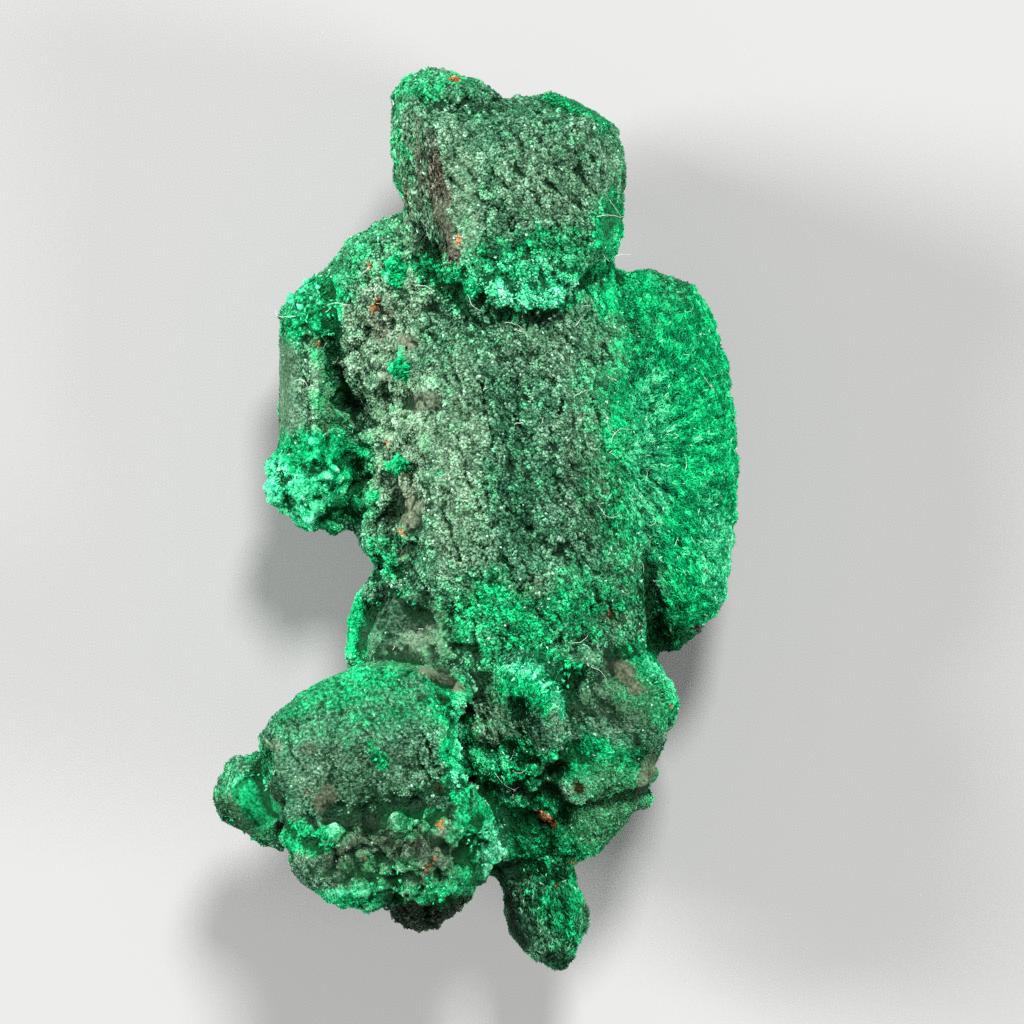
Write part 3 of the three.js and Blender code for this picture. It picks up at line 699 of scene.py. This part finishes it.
def relief(points, marks):
    """How far each corner stands out of the plain solid, in millimetres."""
    warped = points @ CRUMB_STRETCH + 0.22 * noise(points, 0.8, 9)[:, None]
    grain, gap, grain_size = pebbles(warped, GRAIN_WIDTH, 21)
    knobs, knob_gap, knob_size = pebbles(points + 0.35 * noise(points, 1.1, 8)[:, None], KNOB_WIDTH, 22)
    busy = 0.3 + 0.7 * ease(fractal(points, 1.8, 2, 20), -0.4, 0.4)
    big, big_gap, big_size = pebbles(points + 0.5 * noise(points, 1.7, 7)[:, None], BLOB_WIDTH, 30)
    granular = 0.3 * (0.4 - grain) * (0.2 + 1.3 * grain_size) + 0.08 * ease(gap, 0.0, 0.25) - 0.04
    lumps = 0.15 * fractal(points @ CRACK_STRETCH, 1.0, 3, 27)
    knobbly = 0.6 * (0.45 - knobs) * (0.3 + 1.2 * knob_size) + 0.1 * ease(knob_gap, 0.0, 0.3) - 0.05
    blobs = 0.9 * (0.45 - big) * (0.4 + big_size) + 0.16 * ease(big_gap, 0.0, 0.3) - 0.06
    pits = ease(fractal(points, 1.1, 3, 23), 0.2, 0.7)
    waves = 0.14 * fractal(points, 3.4, 2, 24)
    _, offset, number = fibres(points)
    around = np.arctan2(offset[:, 1], offset[:, 0])
    spokes = np.stack([around * number, np.hypot(*offset.T) * 0.4, points[:, 2] * 0.7], axis=1)
    fibrous = 0.19 * fractal(spokes, 1.0, 3, 25)
    rough, fibre = marks["rough"], marks["fibre"]
    pitted = 0.3 * pits * (0.3 + np.maximum(marks["dark"], 0))
    plain = granular * busy + lumps + waves - pitted - 0.26 * marks["crack"]
    knobbly = knobbly + blobs * ease(marks["emerald"], 0.2, 0.8)
    bumpy = granular * 0.5 + lumps + knobbly - 0.34 * pits
    height = plain * (1 - rough) + bumpy * rough
    height = height * (1 - 0.8 * fibre) + fibrous * fibre
    height = height * (1 - 0.85 * marks["smooth"] * (1 - 0.7 * rough)) * (1 - 0.5 * marks["edge"])
    height = height - FACE_DEPTH * marks["face"]
    return height + 0.05 * marks["smooth"] * fractal(points, 1.2, 2, 29)


def keep_inside(points):
    """Holds the points near the solid's box and above the floor."""
    floor = low - middle - GROWTH_LIMIT
    floor[2] = 0.0
    return np.clip(points, floor, high - middle + GROWTH_LIMIT)


def hollowness(points, normals, edges, rounds):
    """How deep each corner lies below its neighbourhood, in millimetres."""
    return ((relax(points, edges, rounds) - points) * normals).sum(axis=1)


# ---- meshes


def fill_mesh(mesh, points, faces):
    sides = faces.shape[1]
    mesh.vertices.add(len(points))
    mesh.vertices.foreach_set("co", points.astype(np.float32).ravel())
    mesh.loops.add(faces.size)
    mesh.loops.foreach_set("vertex_index", faces.astype(np.int32).ravel())
    mesh.polygons.add(len(faces))
    mesh.polygons.foreach_set("loop_start", np.arange(0, faces.size, sides, dtype=np.int32))
    mesh.update(calc_edges=True)


def build_mesh(name, points, faces, marks, uv):
    """A mesh object, in metres in the frame, with its marks as attributes."""
    mesh = bpy.data.meshes.new(name)
    fill_mesh(mesh, (points + middle) * MM, faces)
    for mark, values in marks.items():
        if mark not in UNPAINTED:
            attribute = mesh.attributes.new(mark, "FLOAT", "POINT")
            attribute.data.foreach_set("value", values.astype(np.float32))
    layer = mesh.uv_layers.new(name="OFBake")
    layer.data.foreach_set("uv", uv.astype(np.float32).ravel())
    piece = bpy.data.objects.new(name, mesh)
    bpy.context.scene.collection.objects.link(piece)
    return piece


def rock_uv(points, faces, soft_normals):
    """A map with one panel for each of the six directions that a face may look in."""
    facing = soft_normals[faces].mean(axis=1)
    axis = np.abs(facing * [1.0, 0.9, 1.15]).argmax(axis=1)
    positive = np.take_along_axis(facing, axis[:, None], axis=1)[:, 0] > 0
    width, length, depth = size + 2 * GROWTH_LIMIT
    # Both Z panels stand side by side, then both X panels, and the Y panels above them.
    origins = {
        (2, True): (0, 0),
        (2, False): (width, 0),
        (0, True): (2 * width, 0),
        (0, False): (2 * width + depth, 0),
        (1, True): (0, length),
        (1, False): (width, length),
    }
    flat = {2: (0, 1), 0: (2, 1), 1: (0, 2)}
    total = max(2 * width + 2 * depth, length + depth)
    uv = np.zeros((len(faces), 3, 2))
    for (direction, side), origin in origins.items():
        chosen = (axis == direction) & (positive == side)
        first, second = flat[direction]
        panel = points[faces[chosen]][:, :, [first, second]] - (low - middle - GROWTH_LIMIT)[[first, second]]
        uv[chosen] = (panel + origin) / total
    return uv


# ---- druse


def sow(points, faces, density):
    """Random sites on the triangles, as the triangle of each site and its weights on the corners."""
    a, b, c = (points[faces[:, side]] for side in range(3))
    wanted = np.linalg.norm(np.cross(b - a, c - a), axis=1) * density
    wanted *= CRYSTAL_BUDGET / wanted.sum()
    count = np.floor(wanted + rng.random(len(faces))).astype(int)
    chosen = np.repeat(np.arange(len(faces)), count)
    first, second = rng.random((2, len(chosen)))
    root = np.sqrt(first)
    weights = np.stack([1 - root, root * (1 - second), root * second], axis=1)
    return chosen, weights


def spread(values, faces, chosen, weights):
    """Corner values carried to the sites."""
    at_corners = values[faces[chosen]]
    if values.ndim == 1:
        return (at_corners * weights).sum(axis=1)
    return (at_corners * weights[..., None]).sum(axis=1)


def grow_crystals(sites, normals, marks):
    """Corners of one small wedge-shaped crystal at each site: the two ends of its top edge, then the two ends
    of its buried edge. Grains lie along the cracks. Needles stand up, or lie along the fibres."""
    count = len(sites)
    emerald, frost, crumb, bald = (marks[name] for name in ("emerald", "frost", "crumb", "smooth"))
    fibre, offset, _ = fibres(sites)
    needle = np.clip(0.7 * emerald + frost, 0, 1) * (1 - 0.5 * fibre)
    lean = rng.normal(size=(count, 3)) * (0.2 + 0.15 * needle)[:, None]
    axis = unit(normals + lean)
    spokes = unit(np.column_stack([offset, np.zeros(count)]))
    heading = GRAIN_HEADING * (1 - fibre)[:, None] + spokes * fibre[:, None]
    heading = heading + rng.normal(size=(count, 3)) * (0.45 + 1.2 * needle - 0.25 * fibre)[:, None]
    other = unit(np.cross(axis, heading))
    side = np.cross(other, axis)
    grain_half = rng.uniform(0.05, 0.12, count)
    needle_half = rng.uniform(0.03, 0.07, count)
    half_length = grain_half + (needle_half - grain_half) * needle + 0.15 * fibre
    half_width = rng.uniform(0.06, 0.11, count) * (1 - 0.35 * needle) * (1 - 0.35 * fibre)
    low_height = rng.uniform(0.0, 0.035, count)
    tall_height = rng.uniform(0.0, 0.07, count)
    height = low_height + (tall_height - low_height) * needle
    half_length *= (1 - 0.3 * bald) * (1.1 - 0.4 * crumb)
    height = height * (1 - 0.8 * bald) * (1.15 - 0.8 * crumb) + 0.06 * (1 - crumb) * (1 - bald)
    sink = 0.02 + 0.35 * half_width
    tilt = rng.uniform(-0.3, 0.3, count) * half_length
    corners = np.empty((count, 4, 3))
    for corner, way in ((0, -1), (1, 1)):
        along = side * (way * half_length)[:, None]
        corners[:, corner] = sites + along + axis * (height + way * tilt)[:, None]
        across = other * (way * half_width * 1.5)[:, None]
        corners[:, corner + 2] = sites + across - axis * sink[:, None]
    rise = np.stack([height - tilt, height + tilt, -sink, -sink], axis=1)
    return corners, rise


def repeated(count, faces, square):
    """Faces and map of count crystals built alike. Each has one small square of the map, and its corners
    lie in that as they do in square."""
    columns = math.ceil(math.sqrt(count))
    index = np.arange(count)
    cell = np.stack([index % columns, index // columns], axis=1) / columns
    all_faces = (index[:, None, None] * len(square) + faces).reshape(-1, 3)
    return all_faces, (cell[:, None] + square / columns)[:, faces]


CRYSTAL_FACES = np.array([[1, 0, 2], [0, 1, 3], [3, 2, 0], [2, 3, 1]])
CRYSTAL_SQUARE = np.array([[0.15, 0.85], [0.85, 0.85], [0.3, 0.15], [0.7, 0.15]])
QUARTERS = ("druse_front", "druse_left", "druse_back", "druse_right")


def druse_pieces(points, faces, normals, marks):
    """The druse, in four pieces by the way that it faces."""
    facing_up = ease(normals[:, 2], -0.3, 0.4)
    density = (1 + (FRONT_SHARE - 1) * facing_up) * (1 - 0.6 * marks["smooth"]) * (1 - 0.9 * marks["bare"])
    density = density * (0.75 + 0.5 * marks["emerald"]) * (1 - 0.7 * marks["crack"])
    density = density * (1 - 0.85 * marks["face"]) * ease(points[:, 2], 0.02, 0.15)
    chosen, weights = sow(points, faces, density[faces].mean(axis=1))
    sites = spread(points, faces, chosen, weights)
    site_normals = unit(spread(normals, faces, chosen, weights))
    site_marks = {mark: spread(values, faces, chosen, weights) for mark, values in marks.items()}
    _, gap, shade = pebbles(sites @ CRUMB_STRETCH, 0.3, 61)
    site_marks["crumb"] = np.clip(1 - ease(gap, 0.0, 0.4) + 0.25 * noise(sites, 0.25, 62), 0, 1)
    site_marks["shade"] = shade
    corners, rise = grow_crystals(sites, site_normals, site_marks)
    corners = keep_inside(corners.reshape(-1, 3)).reshape(-1, 4, 3)
    tone = rng.random(len(sites))
    turn = np.arctan2(site_normals[:, 0], site_normals[:, 2])
    order = np.argsort((turn + math.pi * 0.25) % math.tau)
    pieces = []
    for name, part in zip(QUARTERS, np.array_split(order, len(QUARTERS))):
        crystal_faces, uv = repeated(len(part), CRYSTAL_FACES, CRYSTAL_SQUARE)
        corner_marks = {mark: np.repeat(values[part], 4) for mark, values in site_marks.items()}
        corner_marks["tone"] = np.repeat(tone[part], 4)
        corner_marks["rise"] = rise[part].ravel()
        pieces.append(build_mesh(name, corners[part].reshape(-1, 3), crystal_faces, corner_marks, uv))
    return pieces


# ---- tufts and loose fibres

BLADE_FACES = np.array(
    [[0, 3, 2], [0, 4, 3], [0, 5, 4], [0, 2, 5], [1, 2, 3], [1, 3, 4], [1, 4, 5], [1, 5, 2]]
)
BLADE_SQUARE = np.array([[0.5, 0.1], [0.5, 0.9], [0.1, 0.4], [0.4, 0.4], [0.6, 0.4], [0.9, 0.4]])


def near_top(points, normals, x, y, reach):
    """Corners of the rock that face up and lie within reach of (x, y), near the top there."""
    away = np.where(normals[:, 2] > 0.1, np.hypot(points[:, 0] - x, points[:, 1] - y), np.inf)
    found = np.flatnonzero(away < max(reach, away.min() + 0.2))
    return found[points[found, 2] > points[found, 2].max() - 2 * reach - 0.6]


def tuft_piece(points, normals):
    """Tufts of flat blades, each a stretched octahedron: its two ends, then its four sides."""
    corners, frosts = [], []
    for x, y, reach, number, length, frost in TUFTS:
        chosen = rng.choice(near_top(points, normals, x, y, reach), number)
        axis = unit(normals[chosen] + rng.normal(size=(number, 3)) * 0.8)
        side = unit(np.cross(axis, rng.normal(size=(number, 3))))
        other = np.cross(axis, side)
        long = (length * rng.uniform(0.5, 1.0, number))[:, None]
        waist = points[chosen] + axis * long * 0.15
        corners.append(np.stack([
            points[chosen] - axis * long * 0.3,
            points[chosen] + axis * long * 0.7,
            waist + side * long * 0.36,
            waist + other * long * 0.1,
            waist - side * long * 0.36,
            waist - other * long * 0.1,
        ], axis=1))
        frosts.append(np.full(number, frost))
    corners = np.concatenate(corners)
    count = len(corners)
    frost = np.concatenate(frosts)
    blade_marks = {mark: np.zeros(count * 6) for mark in (*MARKS, "hollow", "crumb")}
    blade_marks["emerald"] += 1
    blade_marks["frost"] = np.repeat(frost, 6)
    blade_marks["tone"] = np.repeat(rng.uniform(0.2, 0.93, count), 6)
    blade_marks["shade"] = np.repeat(rng.random(count), 6)
    blade_marks["rise"] = np.tile([-0.03, 0.09, 0.03, 0.03, 0.03, 0.03], count)
    faces, uv = repeated(count, BLADE_FACES, BLADE_SQUARE)
    return build_mesh("tufts", keep_inside(corners.reshape(-1, 3)), faces, blade_marks, uv)


FIBRE_RADIUS = 0.016
FIBRE_STEP = 0.11  # from one ring of a tube to the next
FIBRE_RINGS = (5, 17)
FIBRE_CURL = 0.11
FIBRE_WOBBLE = 0.24
FIBRE_DROOP = 0.06
FIBRE_SIDES = (0.0, 2.1, 4.2)  # angles of a tube's corners


def loose_fibre_piece(points, normals):
    """Thin curled fibres, each a three-sided tube."""
    tubes, tube_faces = [], []
    start = 0
    for x, y, half_width, half_height, number in LOOSE_FIBRES:
        for _ in range(number):
            spot_x = x + half_width * rng.uniform(-1, 1)
            spot_y = y + half_height * rng.uniform(-1, 1)
            found = near_top(points, normals, spot_x, spot_y, 0.4)
            root = points[found[rng.integers(len(found))]] + [0, 0, 0.03]
            rings = int(rng.integers(*FIBRE_RINGS))
            heading = rng.uniform(0, math.tau)
            curl = rng.normal() * FIBRE_CURL
            slope = rng.uniform(-0.05, 0.25)
            spine = [root]
            for _ in range(rings - 1):
                heading += curl + rng.normal() * FIBRE_WOBBLE
                way = np.array([math.cos(heading), math.sin(heading), slope])
                slope -= FIBRE_DROOP
                spine.append(spine[-1] + way * FIBRE_STEP)
            spine = np.array(spine)
            along = unit(np.gradient(spine, axis=0))
            side = unit(np.cross(along, [0.0, 0.0, 1.0]))
            up = np.cross(side, along)
            thin = FIBRE_RADIUS * np.sqrt(np.linspace(1, 0.25, rings))[:, None]
            ring = [spine + (side * math.cos(a) + up * math.sin(a)) * thin for a in FIBRE_SIDES]
            tubes.append(np.stack(ring, axis=1).reshape(-1, 3))
            for lower in range(rings - 1):
                for corner in range(3):
                    a = start + lower * 3 + corner
                    b = start + lower * 3 + (corner + 1) % 3
                    tube_faces += [[a, b, b + 3], [a, b + 3, a + 3]]
            last = start + rings * 3 - 3
            tube_faces += [[start + 2, start + 1, start], [last, last + 1, last + 2]]
            start += rings * 3
    corners = keep_inside(np.concatenate(tubes))
    faces = np.array(tube_faces)
    tone = noise(corners, 0.5, 91) * 0.5 + 0.5
    flat = corners[faces][:, :, :2] - low[:2] + middle[:2] + GROWTH_LIMIT
    uv = flat / (size[1] + 2 * GROWTH_LIMIT)
    return build_mesh("loose_fibres", corners, faces, {"tone": tone}, uv)


# ---- materials

GREYS = ((0.003, 0.035, 0.016), (0.045, 0.18, 0.09), (0.14, 0.33, 0.20), (0.32, 0.54, 0.38))
PALES = ((0.02, 0.05, 0.025), (0.14, 0.26, 0.15), (0.28, 0.43, 0.28), (0.48, 0.64, 0.48))
EMERALDS = ((0.0, 0.08, 0.026), (0.0, 0.35, 0.115), (0.005, 0.67, 0.23), (0.12, 0.94, 0.46))
FROSTS = ((0.0, 0.22, 0.09), (0.03, 0.60, 0.27), (0.24, 0.88, 0.52), (0.60, 1.0, 0.78))
STAINS = ((0.03, 0.028, 0.018), (0.125, 0.115, 0.08), (0.26, 0.24, 0.18))
RUSTS = ((0.12, 0.045, 0.018), (0.38, 0.17, 0.06), (0.70, 0.44, 0.26))
BARES = ((0.075, 0.09, 0.05), (0.16, 0.19, 0.12), (0.26, 0.29, 0.21))
FIBRE_COLOURS = ((0.45, 0.62, 0.45), (0.78, 0.85, 0.74), (0.92, 0.94, 0.88))
# Tint that painted shade is mixed towards.
PAINTED_SHADE_TINT = (0.05, 0.11, 0.08)
# Colour of painted glints.
GLINT = (0.55, 0.92, 0.70)


class Nodes:
    """Adds linked nodes to one material's tree."""

    def __init__(self, name):
        self.material = bpy.data.materials.new(name)
        self.material.use_nodes = True
        self.tree = self.material.node_tree
        self.shader = self.tree.nodes["Principled BSDF"]

    def new(self, kind):
        return self.tree.nodes.new("ShaderNode" + kind)

    def set(self, socket, value):
        if isinstance(value, bpy.types.NodeSocket):
            self.tree.links.new(value, socket)
        elif isinstance(value, tuple):
            socket.default_value = (*value, 1.0)
        else:
            socket.default_value = value

    def shade(self, name, value):
        """Sets or links one socket of the shader."""
        self.set(self.shader.inputs[name], value)

    def bump(self, strength, distance, scale):
        """Grain of a scale and a height, on the shader's normal."""
        bump = self.new("Bump")
        self.set(bump.inputs["Strength"], strength)
        self.set(bump.inputs["Distance"], distance)
        self.set(bump.inputs["Height"], self.noise(scale))
        self.shade("Normal", bump.outputs["Normal"])

    def mark(self, name):
        attribute = self.new("Attribute")
        attribute.attribute_name = name
        return attribute.outputs["Fac"]

    def place(self):
        return self.new("TexCoord").outputs["Object"]

    def noise(self, scale, detail=4.0):
        texture = self.new("TexNoise")
        self.set(texture.inputs["Vector"], self.place())
        self.set(texture.inputs["Scale"], scale)
        self.set(texture.inputs["Detail"], detail)
        return texture.outputs["Fac"]

    def math(self, operation, first, second=0.0, third=0.0):
        maths = self.new("Math")
        maths.operation = operation
        for socket, value in zip(maths.inputs, (first, second, third)):
            self.set(socket, value)
        return maths.outputs[0]

    def plus(self, share, value, base):
        """The base with a share of the value added."""
        return self.math("MULTIPLY_ADD", value, share, base)

    def rise(self, value, start, end):
        """0 at start and 1 at end, with a smooth rise between."""
        ramp = self.new("MapRange")
        ramp.interpolation_type = "SMOOTHSTEP"
        self.set(ramp.inputs["Value"], value)
        self.set(ramp.inputs["From Min"], start)
        self.set(ramp.inputs["From Max"], end)
        return ramp.outputs["Result"]

    def blend(self, factor, first, second):
        """The number first where the factor is 0 and second where it is 1."""
        change = self.math("SUBTRACT", second, first)
        return self.plus(factor, change, first)

    def ramp(self, value, colours):
        """The colours, evenly spaced from 0 to 1."""
        ramp = self.new("ValToRGB")
        stops = ramp.color_ramp.elements
        while len(stops) < len(colours):
            stops.new(0.5)
        for index, colour in enumerate(colours):
            stops[index].position = index / (len(colours) - 1)
            stops[index].color = (*colour, 1.0)
        self.set(ramp.inputs["Fac"], value)
        return ramp.outputs["Color"]

    def mix(self, factor, first, second, blend="MIX"):
        mixed = self.new("Mix")
        mixed.data_type = "RGBA"
        mixed.blend_type = blend
        self.set(mixed.inputs["Factor"], factor)
        self.set(mixed.inputs["A"], first)
        self.set(mixed.inputs["B"], second)
        return mixed.outputs["Result"]


def malachite(name, is_druse):
    """Grey-green to emerald malachite with frost and stains by the marks on the mesh, painted shade in its
    hollows, cracks and gaps, and painted highlights and glints.
    """
    nodes = Nodes(name)
    fine = nodes.noise(4200.0)
    broad = nodes.noise(620.0)
    speckle = nodes.noise(1700.0, 2.0)
    grit = nodes.noise(6500.0, 2.0)
    tone = nodes.mark("tone") if is_druse else nodes.rise(grit, 0.32, 0.68)
    shade = nodes.mark("shade") if is_druse else fine
    light = nodes.plus(0.2, tone, nodes.math("MULTIPLY", broad, 0.55))
    light = nodes.plus(0.35, shade, light)
    # Painted highlight: places that stand out of their neighbourhood are lighter.
    light = nodes.plus(0.25, nodes.rise(nodes.mark("hollow"), -0.02, -0.2), light)
    light = nodes.rise(light, 0.15, 1.1)
    colour = nodes.mix(nodes.mark("pale"), nodes.ramp(light, GREYS), nodes.ramp(light, PALES))
    patchy = nodes.plus(0.8, speckle, nodes.math("SUBTRACT", nodes.mark("emerald"), 0.4))
    patchy = nodes.plus(0.2, shade, patchy)
    colour = nodes.mix(nodes.rise(patchy, 0.1, 0.9), colour, nodes.ramp(light, EMERALDS))
    layers = (
        ("frost", speckle, 0.6, 0.4, 1.1, FROSTS),
        ("stain", fine, 0.6, 0.45, 1.1, STAINS),
        ("rust", fine, 0.4, 0.6, 0.95, RUSTS),
    )
    for mark, texture, share, start, end, colours in layers:
        cover = nodes.plus(share, texture, nodes.mark(mark))
        colour = nodes.mix(nodes.rise(cover, start, end), colour, nodes.ramp(light, colours))
    bare = nodes.math("MULTIPLY", nodes.mark("bare"), nodes.rise(speckle, 0.1, 0.4))
    colour = nodes.mix(bare, colour, nodes.ramp(light, BARES))
    # Painted glints: a few crystals and specks of the rock are mixed towards the glint colour, and made
    # smoother.
    if is_druse:
        shine = nodes.rise(tone, 0.975, 0.995)
        colour = nodes.mix(nodes.math("MULTIPLY", shine, 0.8), colour, GLINT)
        # Painted shade at the roots of the crystals and in the gaps between crumbs.
        depth = nodes.rise(nodes.mark("rise"), 0.05, -0.03)
        gap = nodes.rise(nodes.mark("crumb"), 0.5, 0.95)
    else:
        shine = nodes.rise(grit, 0.68, 0.76)
        colour = nodes.mix(nodes.math("MULTIPLY", shine, 0.5), colour, GLINT)
        # Painted shade in specks of the rock, evened out on smooth places.
        calm = nodes.math("MULTIPLY", nodes.mark("smooth"), 0.7)
        depth = nodes.blend(calm, nodes.rise(fine, 0.72, 0.35), 0.6)
        gap = nodes.blend(calm, nodes.rise(grit, 0.62, 0.34), 0.35)
    # Painted shade: the dark places, hollows, cracks, crystal roots and gaps between grains are mixed towards
    # the shade tint.
    sink = nodes.math("ADD", nodes.mark("dark"), nodes.rise(nodes.mark("hollow"), 0.0, 0.14))
    sink = nodes.plus(0.8, nodes.mark("crack"), sink)
    sink = nodes.plus(0.6, depth, sink)
    sink = nodes.plus(0.6, gap, sink)
    shadow = nodes.mix(1.0, colour, PAINTED_SHADE_TINT, "MULTIPLY")
    colour = nodes.mix(nodes.rise(sink, 0.0, 1.3), colour, shadow)
    nodes.shade("Base Color", colour)
    nodes.shade("Specular IOR Level", 0.08)
    rough = nodes.plus(0.3, fine, 0.45)
    nodes.shade("Roughness", nodes.plus(-0.3, shine, rough))
    nodes.bump(0.4, 0.05 * MM, 9000.0)
    return nodes.material


def pale_fibre(name):
    """Silky off-white fibres with greener stretches."""
    nodes = Nodes(name)
    fine = nodes.noise(5200.0)
    light = nodes.plus(0.6, nodes.mark("tone"), nodes.math("MULTIPLY", fine, 0.5))
    nodes.shade("Base Color", nodes.ramp(light, FIBRE_COLOURS))
    nodes.shade("Roughness", nodes.plus(0.3, fine, 0.3))
    nodes.bump(0.3, 0.01 * MM, 12000.0)
    return nodes.material


# ---- the specimen

solid_points, quads, edges = grown_over()
solid_points = relax(solid_points, edges, ROUNDING)
solid_normals = corner_normals(solid_points, quads)
soft_normals = corner_normals(relax(solid_points, edges, 20), quads)
# Convex edges: the relief is damped on them, and they are painted paler as a painted highlight.
convex_edges = ease(hollowness(solid_points, solid_normals, edges, 24), -0.04, -0.16)
marks = mineral_marks(solid_points, soft_normals, convex_edges)
grown_points = keep_inside(solid_points + solid_normals * relief(solid_points, marks)[:, None])
grown_points[:, 2] = np.where(solid_points[:, 2] < CONTACT, 0.0, grown_points[:, 2])
grown_normals = corner_normals(grown_points, quads)
marks["hollow"] = hollowness(grown_points, grown_normals, edges, 16)
# Frost on the convex rims of rough emerald knobs: a painted highlight.
pale_rims = ease(marks["hollow"], -0.03, -0.14) * marks["rough"] * marks["emerald"]
marks["frost"] = np.maximum(marks["frost"], 0.6 * pale_rims)

rock_points, rock_faces = thinned(grown_points, quads)
source = nearest_corners(grown_points, rock_points)
rock_marks = {mark: values[source] for mark, values in marks.items()}
rock_normals = corner_normals(rock_points, rock_faces)
rock_map = rock_uv(rock_points, rock_faces, soft_normals[source])
rock = build_mesh("crystal_group", rock_points, rock_faces, rock_marks, rock_map)
rock.data.materials.append(malachite("malachite_rock", False))
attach(rock, BODY)
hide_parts(NODE)

druse_material = malachite("malachite_druse", True)
growths = druse_pieces(rock_points, rock_faces, rock_normals, rock_marks)
growths.append(tuft_piece(rock_points, rock_normals))
for piece in growths:
    piece.data.materials.append(druse_material)
loose = loose_fibre_piece(rock_points, rock_normals)
loose.data.materials.append(pale_fibre("pale_fibre"))
for piece in [*growths, loose]:
    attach(piece, BODY)


# ---- stage, lights and camera

FLOOR_HALF = 3.0
FLOOR_COLOUR = (0.33, 0.33, 0.325)
WORLD_COLOUR = (0.80, 0.81, 0.82)
WORLD_STRENGTH = 0.38


def plain_floor():
    mesh = bpy.data.meshes.new("floor")
    half = FLOOR_HALF
    level = low[2] * MM
    mesh.from_pydata(
        [(-half, -half, level), (half, -half, level), (half, half, level), (-half, half, level)],
        [],
        [(0, 1, 2, 3)],
    )
    floor = bpy.data.objects.new("floor", mesh)
    bpy.context.scene.collection.objects.link(floor)
    nodes = Nodes("pale_floor")
    nodes.shade("Base Color", FLOOR_COLOUR)
    nodes.shade("Roughness", 1.0)
    nodes.shade("Specular IOR Level", 0.0)
    mesh.materials.append(nodes.material)


def soft_light(name, heading, spread, strength):
    """A lamp far away along a heading from the specimen that looks spread degrees wide from there. It lights
    the floor evenly, and its shadows are soft."""
    lamp = bpy.data.lights.new(name, "SUN")
    lamp.angle = math.radians(spread)
    lamp.energy = strength
    holder = bpy.data.objects.new(name, lamp)
    holder.rotation_euler = Vector(heading).to_track_quat("Z", "Y").to_euler()
    bpy.context.scene.collection.objects.link(holder)


def pale_world():
    world = bpy.data.worlds.new("studio")
    world.use_nodes = True
    background = world.node_tree.nodes["Background"]
    background.inputs["Color"].default_value = (*WORLD_COLOUR, 1.0)
    background.inputs["Strength"].default_value = WORLD_STRENGTH
    bpy.context.scene.world = world


SENSOR = 36.0
MIDDLE_LEVEL = 0.453  # height of the specimen's middle, in shares of its depth
CAMERA_RISE = 9.26  # camera height above that level, in specimen lengths
VIEW_SPAN = 1.139  # width of the picture at the specimen, in specimen lengths
CAMERA_SHIFT = (0.0704, 0.0101)  # how far right and up of the middle, in shares of the width and the length


def overhead_camera():
    """A camera that looks straight down on the lying specimen, with its top end upwards in the picture."""
    camera = bpy.data.cameras.new("camera")
    camera.sensor_width = SENSOR
    camera.lens = SENSOR * CAMERA_RISE / VIEW_SPAN
    camera.clip_start = 0.01
    holder = bpy.data.objects.new("camera", camera)
    aside = np.array([CAMERA_SHIFT[0] * size[0], CAMERA_SHIFT[1] * size[1], 0])
    above = np.array([0, 0, size[2] * MIDDLE_LEVEL + CAMERA_RISE * size[1]])
    holder.location = Vector((middle + aside + above) * MM)
    bpy.context.scene.collection.objects.link(holder)
    bpy.context.scene.camera = holder


plain_floor()
pale_world()
soft_light("key", (0.8, 3.6, 4.6), 14, 4.6)
soft_light("left_fill", (-4.6, 1.0, 2.2), 22, 5.7)
soft_light("right_fill", (4.4, -1.4, 2.4), 22, 2.5)
overhead_camera()
bpy.context.scene.view_settings.view_transform = "Standard"
bpy.context.scene.cycles.use_denoising = False
